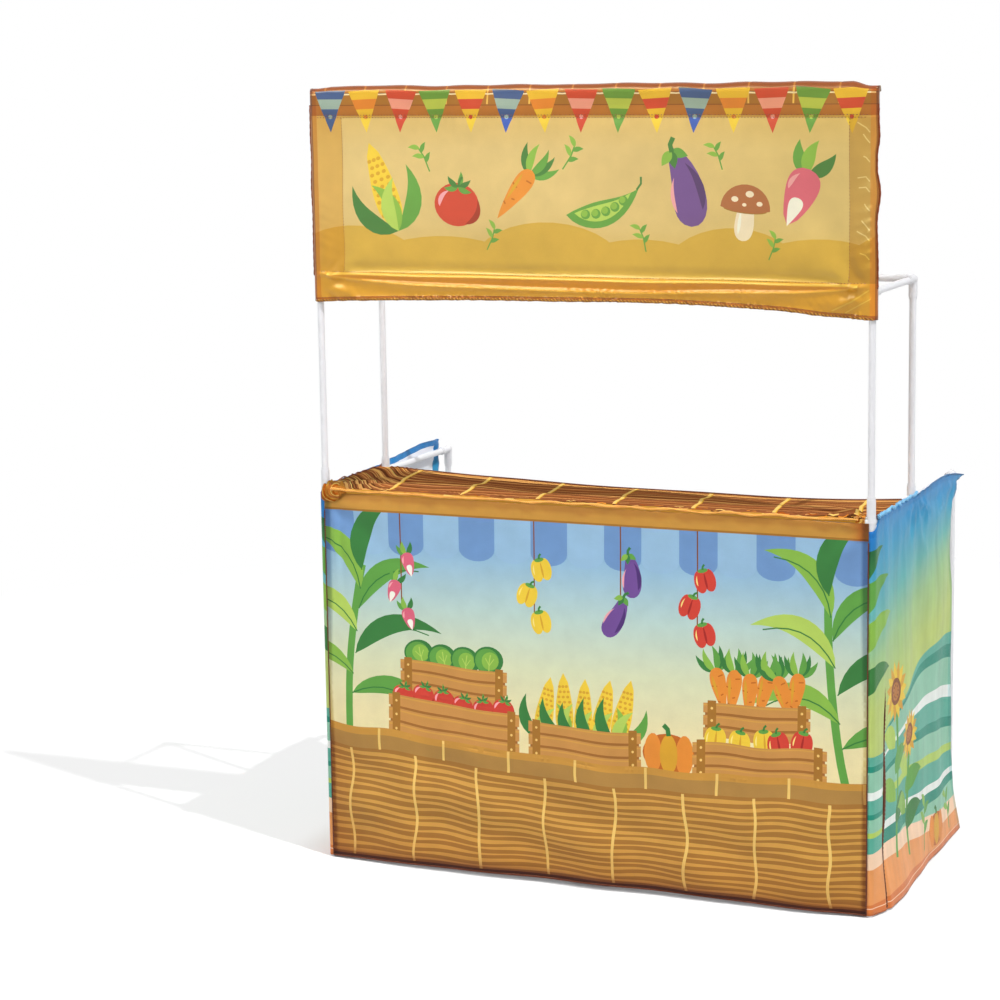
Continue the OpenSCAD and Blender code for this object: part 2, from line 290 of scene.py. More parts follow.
def peaPod():
    spine = (-0.43, -0.05, 0.43, 0.07)
    bow = -0.14
    peas = 5
    parts = [("leafMid", blade(-0.55, -0.05, 0.55, 0.1, 0.36, bow, 14))]
    parts.append(("lime", blade(*spine, 0.22, bow, 14)))
    for x, y in bowed(*spine, bow, np.arange(1, peas + 1) / (peas + 1)):
        parts.append(("leafMid", disc(x, y, 0.135, 0.135, 0, 14)))
        parts.append(("leaf", disc(x - 0.012, y + 0.015, 0.095, 0.095, 0, 10)))
    parts.append(("leafDeep", ribbon([(0.52, 0.09), (0.6, 0.16), (0.62, 0.25)], 0.03)))
    return parts


def aubergine():
    return [
        ("violet", drop(0.12, 0.45, -0.06, -0.52, 0.5, 0.5, 0.08)),
        ("violetDeep", blade(0.16, -0.4, 0.2, 0.2, 0.1, -0.12)),
        ("rose", blade(-0.15, -0.3, 0.0, 0.1, 0.05, 0.1)),
        *fan(0.11, 0.4, (2.3, -2.9, -2.1), 0.22, 0.12, ("leafMid", "leafDeep", "leaf")),
        ("leafDeep", ribbon([(0.11, 0.38), (0.13, 0.47), (0.2, 0.53)], 0.06)),
    ]


def mushroom():
    spots = ((-0.2, 0.2, 0.13), (0.06, 0.31, 0.15), (0.25, 0.16, 0.11), (-0.02, 0.12, 0.08))
    dome = disc(0, 0.05, 0.9, 0.84, 0, 28)[:15]
    return [
        ("capPale", drop(0.02, 0.15, 0, -0.5, 0.36, 0.2)),
        ("white", blade(-0.09, -0.4, -0.07, 0.05, 0.06)),
        ("slatDark", disc(0, 0.04, 0.8, 0.14, 0, 20)),
        ("cap", np.concatenate([dome, [(-0.2, -0.01), (0.2, -0.01)]])),
        *[("capPale", disc(x, y, wide, wide * 0.75, 0, 12)) for x, y, wide in spots],
    ]


def radish():
    return [
        *fan(0.0, 0.1, (-0.6, 0.55, -0.05), 0.45, 0.17, ("leafMid", "leafDeep", "leaf"), 0.12),
        ("pink", drop(0, -0.56, 0, 0.18, 0.5, 0.55)),
        ("white", drop(0, -0.57, 0, -0.2, 0.24, 0.9)),
        ("rose", blade(-0.16, -0.14, -0.09, 0.09, 0.06, 0.12)),
    ]


def pepper(body, shade):
    return [
        (body, disc(-0.15, -0.08, 0.42, 0.74)),
        (body, disc(0.15, -0.08, 0.42, 0.74)),
        (shade, blade(0.02, -0.36, 0.02, 0.22, 0.07)),
        ("lemon", blade(-0.26, -0.2, -0.22, 0.14, 0.05, 0.08)),
        ("leafMid", disc(0, 0.26, 0.34, 0.14)),
        ("leafDeep", ribbon([(0, 0.28), (0.03, 0.38), (0.1, 0.44)], 0.07)),
    ]


def pumpkin():
    ribs = ((-0.3, "orange"), (0.3, "orange"), (0, "amber"))
    return [
        ("orangeDeep", disc(0, -0.06, 1.0, 0.76, 0, 26)),
        *[(tone, disc(x, -0.06, 0.34, 0.74, 0, 18)) for x, tone in ribs],
        ("leafDeep", ribbon([(0, 0.28), (-0.02, 0.4), (-0.1, 0.47)], 0.09)),
    ]


def cabbage():
    return [
        ("leafDeep", disc(0, -0.02, 0.98, 0.86, 0, 24)),
        ("leafMid", disc(-0.05, -0.03, 0.78, 0.74, 0.3, 22)),
        ("leaf", disc(0.06, -0.04, 0.56, 0.56, 0, 18)),
        ("lime", ribbon([(0.04, -0.36), (0.03, -0.1), (0.06, 0.16)], 0.03)),
        *[("lime", ribbon([(0.04, -0.18), (0.04 + side * 0.14, 0.04)], 0.022)) for side in (-1, 1)],
    ]


def sunflower():
    petals = 15
    seeds = 8
    parts = []
    for i, tip in enumerate(disc(0, 0, 1, 1, 0, petals)):
        parts.append((("yellow", "amber")[i % 2], blade(*(tip * 0.12), *tip, 0.17)))
    parts += [("plankDark", disc(0, 0, 0.44, 0.44)), ("plank", disc(0, 0, 0.3, 0.3, 0, 14))]
    for x, y in disc(0, 0, 0.2, 0.2, 0, seeds):
        parts.append(("topDark", disc(x, y, 0.035, 0.035, 0, 6)))
    return parts


def sprig():
    parts = [("leafMid", ribbon([(0, -0.5), (0.05, 0.0), (0, 0.4)], 0.05))]
    for y, side in ((-0.2, 1), (-0.02, -1), (0.16, 1), (0.3, -1)):
        leaf = blade(0.03, y, side * 0.32, y + 0.24, 0.16, 0.1 * side)
        parts.append((("leaf", "leafMid")[side > 0], leaf))
    return parts


def pennant(body, mark):
    return [
        (body, np.array([(-0.42, 0.5), (0, -0.5), (0.42, 0.5)])),
        (mark, np.array([(-0.34, 0.31), (-0.24, 0.07), (0.24, 0.07), (0.34, 0.31)])),
        (mark, disc(0, -0.12, 0.11, 0.11, 0, 12)),
    ]


# Makes a sheet of cloth with the pattern printed in it, as one closed thin shell
sheetLook = dict(slopeReach=0.0004, rimMap=0.003, mapMargin=0.006)


def signedArea(points):
    x, y = points[:, 0], points[:, 1]
    return float(np.sum(x * np.roll(y, -1) - y * np.roll(x, -1)) / 2)


def fineRing(points, step):
    points = np.array(points, float)
    if signedArea(points) < 0:
        points = points[::-1]
    ring = []
    for a, b in zip(points, np.roll(points, -1, axis=0)):
        count = max(1, math.ceil(math.hypot(*(b - a)) / step))
        ring.append(a + np.outer(np.arange(count) / count, b - a))
    return np.concatenate(ring)


def looseGrid(lowest, highest, rings, step):
    # grid of points that keeps clear of the outlines, so that no sliver lies beside them
    cell = step / 3
    size = np.ceil((highest - lowest) / cell).astype(int) + 5
    taken = np.zeros(size, bool)
    for ring in rings:
        fine = np.concatenate([ring, (ring + np.roll(ring, -1, axis=0)) / 2])
        i = np.clip(np.round((fine - lowest) / cell).astype(int) + 2, 1, size - 2)
        for dx in (-1, 0, 1):
            for dy in (-1, 0, 1):
                taken[i[:, 0] + dx, i[:, 1] + dy] = True
    x = np.arange(lowest[0], highest[0], step)
    y = np.arange(lowest[1], highest[1], step)
    grid = np.stack(np.meshgrid(x, y), -1).reshape(-1, 2)
    i = np.clip(np.round((grid - lowest) / cell).astype(int) + 2, 0, size - 1)
    return grid[~taken[i[:, 0], i[:, 1]]]


def faceColours(flat, tris, layers, ground, art, doubledAndGlints, shade):
    # colour at each corner: the ground, then the topmost ink over it, then the tones of doubled cloth and
    # painted glints
    colours = ground(flat[:, 0], flat[:, 1])[tris]
    tones = [ink[colour] for colour, _ in art]
    for i, ids in enumerate(layers):
        inks = [k for k in ids if 0 < k <= len(art)]
        if inks:
            colours[i] = tones[max(inks) - 1]
        for k in ids:
            if k > len(art):
                colours[i] *= doubledAndGlints[k - len(art) - 1][0]
    # a factor with painted shade and highlights on some sheets and deeper colour on others
    if shade:
        colours *= shade(flat[:, 0], flat[:, 1])[tris]
    return colours


def fineGrid(x0, y0, x1, y1, stepX, stepY):
    # extra points for a stretch with fine folds
    x = np.arange(x0, x1, stepX)
    y = np.arange(y0, y1, stepY)
    return np.stack(np.meshgrid(x, y), -1).reshape(-1, 2)


def printedSheet(name, outline, place, ground, art, doubledAndGlints, step, hemmed=None, warp=None, shade=None,
                 fine=None):
    rings = [fineRing(points, step) for points in [outline, *[p for _, p in [*art, *doubledAndGlints]]]]
    if warp:
        rings[1:len(art) + 1] = [warp(ring) for ring in rings[1:len(art) + 1]]
    lowest, highest = rings[0].min(0), rings[0].max(0)
    faces, start = [], 0
    for ring in rings:
        faces.append(list(range(start, start + len(ring))))
        start += len(ring)
    rest = [] if fine is None else [fine]
    points = np.concatenate([*rings, *rest, looseGrid(lowest, highest, [*rings, *rest], step)])
    made = geometry.delaunay_2d_cdt([Vector(p) for p in points], [], faces, 0, 1e-6)
    flat = np.array([(v.x, v.y) for v in made[0]])
    inside = [i for i, ids in enumerate(made[5]) if 0 in ids]
    tris = np.array([made[2][i] for i in inside])
    colours = faceColours(flat, tris, [made[5][i] for i in inside], ground, art, doubledAndGlints, shade)
    used, tris = np.unique(tris, return_inverse=True)
    tris = tris.reshape(-1, 3)
    flat = flat[used]
    outer, out = onSheet(place, flat[:, 0], flat[:, 1])
    piece = closedShell(name, flat, tris, outer, out, colours, hemmed)
    print(name, "has", len(piece.data.polygons), "faces")
    return piece


def onSheet(place, x, y, lift=0.0):
    # points on a sheet with its outward direction there
    x, y = np.broadcast_arrays(np.asarray(x, float), np.asarray(y, float))
    reach = sheetLook["slopeReach"]
    point = place(x, y)
    right = place(x + reach, y) - place(x - reach, y)
    rise = place(x, y + reach) - place(x, y - reach)
    out = unit(np.cross(right, rise))
    return point + out * lift, out


def newPiece(name, data):
    piece = bpy.data.objects.new(name, data)
    bpy.context.scene.collection.objects.link(piece)
    return piece


def closedShell(name, flat, tris, outer, out, colours, hemmed):
    count = len(flat)
    inner = outer - out * clothThick
    pairs = np.concatenate([tris[:, [0, 1]], tris[:, [1, 2]], tris[:, [2, 0]]])
    where = np.tile(np.arange(len(tris)), 3)
    keys = pairs[:, 0] * count + pairs[:, 1]
    edge = ~np.isin(keys, pairs[:, 1] * count + pairs[:, 0])
    rim, rimFace = pairs[edge], where[edge]
    rimQuads = columns(rim[:, 1], rim[:, 0], rim[:, 0] + count, rim[:, 1] + count)
    mesh = bpy.data.meshes.new(name)
    faces = np.concatenate([tris, tris[:, ::-1] + count]).tolist() + rimQuads.tolist()
    mesh.from_pydata(np.concatenate([outer, inner]).tolist(), [], faces)
    smoothed = np.ones(len(faces), bool)
    smoothed[2 * len(tris):] = False
    mesh.polygons.foreach_set("use_smooth", smoothed)
    rimTone = colours[rimFace].mean(1)[:, None, :].repeat(4, 1)
    tones = np.concatenate([part.reshape(-1, 3) for part in (colours, colours[:, ::-1], rimTone)])
    layer = mesh.color_attributes.new("print", "FLOAT_COLOR", "CORNER")
    layer.data.foreach_set("color", np.concatenate([tones, np.ones((len(tones), 1))], 1).ravel())
    # the reverse of the cloth is paler, but a turned hem shows the printed side there
    middle = flat[tris].mean(1)
    pale = np.ones(len(tris)) if hemmed is None else 1.0 - hemmed(middle[:, 0], middle[:, 1])
    reverse = mesh.attributes.new("reverse", "FLOAT", "FACE")
    reverse.data.foreach_set("value", np.concatenate([np.zeros(len(tris)), pale, np.zeros(len(rim))]))
    corners = np.concatenate([tris.ravel(), tris[:, ::-1].ravel()])
    rimOut = flat[rim] + rimDirection(flat, rim) * sheetLook["rimMap"]
    rimCorners = columns(flat[rim[:, 1]], flat[rim[:, 0]], rimOut[:, 0], rimOut[:, 1]).reshape(-1, 2)
    addMap(mesh, "cloth", np.concatenate([flat[corners], rimCorners]))
    addMap(mesh, "OFBake", bakePlaces(flat, tris, rimCorners))
    mesh.update()
    return newPiece(name, mesh)


def rimDirection(flat, rim):
    run = unit(flat[rim[:, 1]] - flat[rim[:, 0]])
    return columns(run[:, 1], -run[:, 0])[:, None, :]


def bakePlaces(flat, tris, rimCorners):
    # outer face and reverse side by side, or one over the other on a wide sheet
    lowest = flat.min(0) - sheetLook["mapMargin"]
    size = flat.max(0) + sheetLook["mapMargin"] - lowest
    shift = np.array([0, size[1]]) if size[0] > size[1] else np.array([size[0], 0])
    whole = max((size + shift).max(), 1e-9)
    outer = flat[tris.ravel()] - lowest
    inner = flat[tris[:, ::-1].ravel()] - lowest + shift
    return np.concatenate([outer, inner, rimCorners - lowest]) / whole


def addMap(mesh, name, places):
    layer = mesh.uv_layers.new(name=name)
    layer.data.foreach_set("uv", places.astype(np.float32).ravel())


# Trims that are sewn along a line on a sheet
def sewnRoll(name, path, out, radius, finish, squash=1.0):
    # a rolled hem or piping along a path, closed at both ends
    sidesRound = 7
    radius = np.broadcast_to(radius, len(path))
    run = unit(np.gradient(path, axis=0))
    across = unit(np.cross(run, out))
    up = np.cross(across, run)
    angle = np.linspace(0, math.tau, sidesRound, endpoint=False)
    wide = np.cos(angle)[None, :, None] * across[:, None]
    tall = squash * np.sin(angle)[None, :, None] * up[:, None]
    rings = path[:, None] + (wide + tall) * radius[:, None, None]
    verts = np.concatenate([rings.reshape(-1, 3), path[:1], path[-1:]])
    faces = []
    last = len(path) - 1
    for i in range(last):
        for k in range(sidesRound):
            a, b = i * sidesRound + k, i * sidesRound + (k + 1) % sidesRound
            faces.append((a, b, b + sidesRound, a + sidesRound))
    for k in range(sidesRound):
        b = (k + 1) % sidesRound
        faces.append((len(verts) - 2, b, k))
        faces.append((len(verts) - 1, last * sidesRound + k, last * sidesRound + b))
    return meshPiece(name, verts, faces, finish)


def meshPiece(name, verts, faces, finish):
    mesh = bpy.data.meshes.new(name)
    mesh.from_pydata(np.asarray(verts).tolist(), [], [tuple(f) for f in faces])
    mesh.polygons.foreach_set("use_smooth", np.ones(len(faces), bool))
    mesh.update()
    piece = newPiece(name, mesh)
    piece.data.materials.append(finish)
    return piece


stitchLook = dict(pitch=0.0052, length=0.0032, thick=0.0007, lift=0.0003)


def stitchRow(rows, place, x, y):
    # adds a row of short stitches along a line on a sheet; each is a slim bar with pointed ends
    pitch, length, thick = (stitchLook[name] for name in ("pitch", "length", "thick"))
    line, out = onSheet(place, x, y, stitchLook["lift"])
    run = runAlong(line)
    starts = np.arange(pitch / 2, run[-1] - length, pitch)
    for start in starts:
        ends = [np.array([np.interp(s, run, line[:, k]) for k in range(3)]) for s in (start, start + length)]
        up = np.array([np.interp(start, run, out[:, k]) for k in range(3)])
        across = np.cross(ends[1] - ends[0], up)
        across *= thick / max(np.linalg.norm(across), 1e-12)
        middle = (ends[0] + ends[1]) / 2
        first = len(rows["verts"])
        ring = [middle + across, middle + up * thick, middle - across, middle - up * thick]
        rows["verts"] += [ends[0], *ring, ends[1]]
        for a, b in ((1, 2), (2, 3), (3, 4), (4, 1)):
            rows["faces"] += [(first, first + b, first + a), (first + 5, first + a, first + b)]


# Node helpers
def newMaterial(name):
    material = bpy.data.materials.new(name)
    material.use_nodes = True
    material.node_tree.nodes.clear()
    return material, material.node_tree


def node(tree, kind, **values):
    made = tree.nodes.new(kind)
    for key, value in values.items():
        if hasattr(made, key):
            setattr(made, key, value)
        else:
            made.inputs[key].default_value = value
    return made


def link(tree, source, target):
    tree.links.new(source, target)


def feed(tree, target, value):
    # a socket is linked, a plain value is set
    if isinstance(value, bpy.types.NodeSocket):
        link(tree, value, target)
    else:
        target.default_value = value


def maths(tree, operation, first, second):
    made = node(tree, "ShaderNodeMath", operation=operation)
    feed(tree, made.inputs[0], first)
    feed(tree, made.inputs[1], second)
    return made.outputs[0]


def mixed(tree, share, first, second, blend="MIX"):
    made = node(tree, "ShaderNodeMix", data_type="RGBA", blend_type=blend)
    feed(tree, made.inputs["Factor"], share)
    feed(tree, made.inputs["A"], first)
    feed(tree, made.inputs["B"], second)
    return made.outputs["Result"]


def newSurface(name, settings):
    # material with one shader and its plain settings
    material, tree = newMaterial(name)
    output = node(tree, "ShaderNodeOutputMaterial")
    shader = node(tree, "ShaderNodeBsdfPrincipled")
    for label, value in settings.items():
        shader.inputs[label].default_value = value
    link(tree, shader.outputs["BSDF"], output.inputs["Surface"])
    return material, tree, shader


def rgba(name):
    return (*ink[name], 1)


def groupTree(name, takes, gives):
    tree = bpy.data.node_groups.new(name, "ShaderNodeTree")
    for label, kind, value in takes:
        socket = tree.interface.new_socket(label, in_out="INPUT", socket_type=kind)
        if value is not None:
            socket.default_value = value
    for label, kind in gives:
        tree.interface.new_socket(label, in_out="OUTPUT", socket_type=kind)
    return tree, tree.nodes.new("NodeGroupInput"), tree.nodes.new("NodeGroupOutput")


def makePrintGrain():
    # printing ink on cloth: soft blotches and a fine speckle
    tree, taken, given = groupTree(
        "printGrain",
        [("Vector", "NodeSocketVector", None), ("Colour", "NodeSocketColor", (1, 1, 1, 1)),
         ("Blotch", "NodeSocketFloat", 0.1), ("Speckle", "NodeSocketFloat", 0.08)],
        [("Colour", "NodeSocketColor")],
    )
    value = 1.0
    for size, detail, label in ((28.0, 3.0, "Blotch"), (900.0, 1.0, "Speckle")):
        noise = node(tree, "ShaderNodeTexNoise", Scale=size, Detail=detail)
        link(tree, taken.outputs["Vector"], noise.inputs["Vector"])
        centred = maths(tree, "SUBTRACT", noise.outputs["Fac"], 0.5)
        value = maths(tree, "ADD", maths(tree, "MULTIPLY", centred, taken.outputs[label]), value)
    link(tree, mixed(tree, 1.0, taken.outputs["Colour"], value, "MULTIPLY"), given.inputs["Colour"])
    return tree


def makeWeave():
    # plain weave: two sets of threads, with a little unevenness and small soft crumples
    tree, taken, given = groupTree(
        "plainWeave",
        [("Vector", "NodeSocketVector", None), ("Thread", "NodeSocketFloat", 900.0),
         ("Crumple", "NodeSocketFloat", 0.6), ("Relief", "NodeSocketFloat", 0.12)],
        [("Height", "NodeSocketFloat"), ("Wear", "NodeSocketFloat")],
    )
    heights = []
    for direction in ("X", "Y"):
        wave = node(tree, "ShaderNodeTexWave", bands_direction=direction, Distortion=0.6, Detail=1.0)
        link(tree, taken.outputs["Vector"], wave.inputs["Vector"])
        link(tree, taken.outputs["Thread"], wave.inputs["Scale"])
        heights.append(wave.outputs["Fac"])
    threads = maths(tree, "MAXIMUM", *heights)
    soft = node(tree, "ShaderNodeTexNoise", Scale=95.0, Detail=4.0, Roughness=0.55, Distortion=0.6)
    link(tree, taken.outputs["Vector"], soft.inputs["Vector"])
    crumple = maths(tree, "MULTIPLY", soft.outputs["Fac"], taken.outputs["Crumple"])
    relief = maths(tree, "MULTIPLY", threads, taken.outputs["Relief"])
    link(tree, maths(tree, "ADD", crumple, relief), given.inputs["Height"])
    link(tree, soft.outputs["Fac"], given.inputs["Wear"])
    return tree


printGrain = makePrintGrain()
plainWeave = makeWeave()


def addGroup(tree, group, **values):
    made = tree.nodes.new("ShaderNodeGroup")
    made.node_tree = group
    for label, value in values.items():
        made.inputs[label].default_value = value
    return made


def spread(tree, source, low, high):
    ramp = node(tree, "ShaderNodeMapRange")
    ramp.inputs["To Min"].default_value = low
    ramp.inputs["To Max"].default_value = high
    link(tree, source, ramp.inputs["Value"])
    return ramp.outputs["Result"]


def bumped(tree, height, strength, distance):
    bump = node(tree, "ShaderNodeBump", Strength=strength, Distance=distance)
    link(tree, height, bump.inputs["Height"])
    return bump.outputs["Normal"]


def dress(tree, shader, look, colour, wear, height):
    # colour, uneven roughness and fine relief of a surface
    link(tree, colour, shader.inputs["Base Color"])
    link(tree, spread(tree, wear, *look["rough"]), shader.inputs["Roughness"])
    link(tree, bumped(tree, height, *look["bump"]), shader.inputs["Normal"])


def clothFinish(name, look):
    # printed satin cloth: its colour is the print, and its reverse is paler
    material, tree, shader = newSurface(name, {
        "Specular IOR Level": look["gloss"], "Specular Tint": look["tint"],
        "Sheen Weight": look["sheen"], "Sheen Roughness": look["sheenRough"],
    })
    flat = node(tree, "ShaderNodeUVMap", uv_map="cloth")
    printed = node(tree, "ShaderNodeAttribute", attribute_name="print")
    reverse = node(tree, "ShaderNodeAttribute", attribute_name="reverse")
    grain = addGroup(tree, printGrain, Blotch=look["blotch"], Speckle=look["speckle"])
    weave = addGroup(tree, plainWeave, Crumple=look["crumple"], Relief=look["relief"])
    for group in (grain, weave):
        link(tree, flat.outputs["UV"], group.inputs["Vector"])
    link(tree, printed.outputs["Color"], grain.inputs["Colour"])
    share = maths(tree, "MULTIPLY", reverse.outputs["Fac"], look["reversePale"])
    colour = mixed(tree, share, grain.outputs["Colour"], look["reverseColour"])
    dress(tree, shader, look, colour, weave.outputs["Wear"], weave.outputs["Height"])
    return material


threadLook = dict(
    gloss=0.3, sheen=0.2, turns=190.0, waver=2.0, blotch=60.0, contrast=(0.3, 1.3), rough=(0.5, 0.8),
    bump=(0.6, 0.0006),
)


def threadFinish(name, colour, dark, turns=threadLook["turns"]):
    # sewn roll or thread: slanting turns of yarn in two tones
    look = threadLook
    settings = {"Specular IOR Level": look["gloss"], "Sheen Weight": look["sheen"]}
    material, tree, shader = newSurface(name, settings)
    place = node(tree, "ShaderNodeTexCoord")
    yarn = node(tree, "ShaderNodeTexWave", bands_direction="DIAGONAL", Scale=turns, Distortion=look["waver"],
                Detail=2.0)
    blotch = node(tree, "ShaderNodeTexNoise", Scale=look["blotch"], Detail=3.0)
    for texture in (yarn, blotch):
        link(tree, place.outputs["Object"], texture.inputs["Vector"])
    contrast = spread(tree, blotch.outputs["Fac"], *look["contrast"])
    tone = maths(tree, "MULTIPLY", yarn.outputs["Fac"], contrast)
    twoTone = mixed(tree, tone, rgba(dark), rgba(colour))
    dress(tree, shader, look, twoTone, blotch.outputs["Fac"], yarn.outputs["Fac"])
    return material


def plasticFinish(name, look):
    # moulded or drawn white plastic with faint handling marks
    material, tree, shader = newSurface(name, {
        "Specular IOR Level": look["gloss"], "Coat Weight": look["coat"], "Coat Roughness": look["coatRough"],
    })
    place = node(tree, "ShaderNodeTexCoord")
    marks = node(tree, "ShaderNodeTexNoise", Scale=look["marks"], Detail=5.0, Roughness=0.6)
    link(tree, place.outputs["Object"], marks.inputs["Vector"])
    worn = marks.outputs["Fac"]
    tone = mixed(tree, spread(tree, worn, *look["contrast"]), look["shade"], look["colour"])
    dress(tree, shader, look, tone, worn, worn)
    return material


# The frame: drawn tubes have a soft gloss, moulded connectors are duller
tubeLook = dict(
    colour=(0.78, 0.78, 0.80, 1), shade=(0.71, 0.71, 0.74, 1), marks=60.0, contrast=(0.2, 1.2),
    rough=(0.3, 0.44), gloss=0.28, coat=0.05, coatRough=0.25, bump=(0.12, 0.0004),
)
connectorLook = dict(
    tubeLook, colour=(0.76, 0.76, 0.78, 1), shade=(0.68, 0.68, 0.71, 1), marks=160.0, rough=(0.42, 0.58),
    coat=0.0,
)
tubeFinish = plasticFinish("tubePlastic", tubeLook)
connectorFinish = plasticFinish("connectorPlastic", connectorLook)
for label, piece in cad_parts.items():
    isTube = any(word in label for word in ("tube", "leg", "post"))
    for place in piece.material_slots:
        place.material = tubeFinish if isTube else connectorFinish
print("frame finished in white plastic")


# Front panel: flat at the counter rail, slack and bowed out at the hem
frontLook = dict(
    hem=0.003, hemWide=0.012, seamIn=0.001, step=0.0052,
    belly=0.019, fold=0.004, folds=5, slack=0.85, tuck=0.006, tuckHigh=0.013, lift=0.006, liftHigh=0.05,
    wave=0.0030, waveLong=0.24, swell=0.0034, swellLong=0.13, swellAt=0.11, swellHigh=0.11,
    pucker=0.0010, puckerPitch=0.021, puckerReach=0.024, gatherFolds=7, gatherDrop=0.01,
    gathered=((-1, 0.0022, 0.05, 3), (1, 0.0016, 0.045, 6)),  # side, height, reach and seed
    creases=((0.0026, (-0.452, 0.60), (-0.446, 0.45)), (-0.0030, (-0.441, 0.61), (-0.436, 0.44))),
    creaseWide=0.004,
    # the print: where its ledge and lines lie, and the colours of its ground
    ledge=0.212, ledgePlaces=(-0.48, -0.3, 0.0, 0.25, 0.48), ledgeHeights=(0.235, 0.224, 0.208, 0.209, 0.213),
    ledgeFade=0.25, waver=0.0022, waverLong=0.14, aside=0.0035, asideLong=0.13, asideTop=0.16,
    groundStops=(0.2, 0.27, 0.36, 0.45, 0.53, 0.6),
    groundTones=("straw", "cream", "mist", "sky", "skyBand", "skyTop"),
    # its darker zones: painted shade low down, under the hem and under the roll, and darker colour at the
    # left, in the right corner and at the seams
    lowHigh=0.11, lowTint=(0.12, 0.22, 0.28), underFrom=0.004, underHigh=0.022, underShadeTint=(0.34, 0.50, 0.48),
    leftWide=0.07, leftTop=0.16, leftFade=0.1, leftTint=(0.14, 0.24, 0.28),
    rolledDown=0.0155, rolledWave=0.002, rolledLong=0.04, rolledFade=0.008, rolledShadeTint=(0.17, 0.27, 0.26),
    warmAt=0.462, warmWide=0.015, warmDown=0.03, warmFade=0.004, warmTint=(0.22, 0.58, 0.72),
    seamHeights=(0.0, 0.22, 0.3, 0.45, 0.6), seamWides=(0.011, 0.010, 0.007, 0.013, 0.014), seamFull=0.55,
    seamStops=(0.0, 0.20, 0.25, 0.42, 0.52),
    seamTones=((0.50, 0.36, 0.30), (0.52, 0.38, 0.30), (0.78, 0.68, 0.44), (0.50, 0.54, 0.58),
               (0.40, 0.47, 0.56)),
    hemTone=(0.80, 0.72, 0.66),
)
frontTop = counterZ
frontHalf = postX - frontLook["seamIn"]


def nearSide(u, side, stiff):
    # 0 at one side edge and 1 a short way in from it; u runs from the left edge to the right one
    return np.minimum(1, (0.5 + side * (0.5 - u)) * stiff)


def placeFront(x, y):
    look = frontLook
    u = np.clip(x / (2 * frontHalf) + 0.5, 0, 1)
    v = (y - look["hem"]) / (frontTop - look["hem"])
    slack = smooth((1 - v) / look["slack"])
    folds = (1 - np.cos(math.tau * look["folds"] * u)) / 2
    out = hump(u) * slack * (look["belly"] + look["fold"] * folds)
    out -= look["tuck"] * hump(u) * bell((y - look["hem"]) / look["tuckHigh"])
    # uneven waves, puckers under the rail, then gathers and creases at the upper corners
    edge = np.minimum(1, np.minimum(u, 1 - u) * 14)
    out += look["wave"] * ripples(x, y * 0.4, look["waveLong"], 4) * edge * (0.3 + slack)
    swell = ripples(x * 0.6, y * 1.5, look["swellLong"], 11) * bell((y - look["swellAt"]) / look["swellHigh"])
    out += look["swell"] * slack * edge * swell
    out += look["pucker"] * puckers(x, frontTop - y, look["puckerPitch"], look["puckerReach"], 5) * edge
    for side, high, reach, seed in look["gathered"]:
        corner = (side * frontHalf, frontTop - look["gatherDrop"])
        out += high * gathers(x, y, *corner, reach, look["gatherFolds"], seed) * nearSide(u, side, 30)
    for high, start, end in look["creases"]:
        out += high * crease(x, y, start, end, look["creaseWide"])
    z = y + look["lift"] * hump(u) * bell((y - look["hem"]) / look["liftHigh"])
    return columns(x, frontY - clothSkin - out, z)


def frontWarp(points):
    # the printed ledge runs a little crooked, and the lines of the slats waver
    look = frontLook
    x, y = points[:, 0], points[:, 1]
    ledge = curveThrough(x, look["ledgePlaces"], look["ledgeHeights"])
    low = 1 - smooth((y - look["ledgeFade"]) / look["ledgeFade"])
    share = smooth(y / 0.15) * low
    wave = look["waver"] * ripples(x, y, look["waverLong"], 51) * smooth(y / 0.03) * low
    wall = 1 - smooth((y - look["asideTop"]) / 0.05)
    aside = look["aside"] * ripples(y, x * 0.7, look["asideLong"], 53) * wall
    return columns(x + aside, y + (ledge - look["ledge"]) * share + wave)


def frontShadeAndSeams(x, y):
    # painted shade towards the hem and under the roll; darker and redder at the left edge, the right corner
    # and the doubled seams
    look = frontLook
    above = y - look["hem"]
    # painted shade low down and where the hem turns under
    low = 1 - smooth(above / look["lowHigh"])
    under = 1 - smooth((above - look["underFrom"]) / look["underHigh"])
    left = 1 - smooth((x + frontHalf) / look["leftWide"])
    left *= 1 - smooth((y - look["leftTop"]) / look["leftFade"])
    # painted shade under the roll over the rail
    roll = frontTop - look["rolledDown"] - look["rolledWave"] * ripples(x, 0, look["rolledLong"], 63)
    rolled = smooth((y - roll) / look["rolledFade"])
    warm = bell((x - look["warmAt"]) / look["warmWide"])
    warm *= smooth((y - frontTop + look["warmDown"]) / look["warmFade"])
    wide = np.interp(y, look["seamHeights"], look["seamWides"])
    full = look["seamFull"]
    seam = 1 - smooth((frontHalf - np.abs(x) - wide * full) / (wide * (1 - full)))
    shade = 1 - seam[:, None] * (1 - gradient(y, look["seamStops"], look["seamTones"]))
    zones = dict(lowTint=low, leftTint=left, underShadeTint=under, rolledShadeTint=rolled, warmTint=warm)
    for tint, share in zones.items():
        shade *= toned(share, look[tint])
    return shade


def frontGround(x, y):
    return gradient(y, frontLook["groundStops"], frontLook["groundTones"])


crateLook = dict(planks=3, gap=0.004, over=0.003, lit=(0.72, 0.86), postIn=0.011, postHalf=0.007, nail=0.0045)


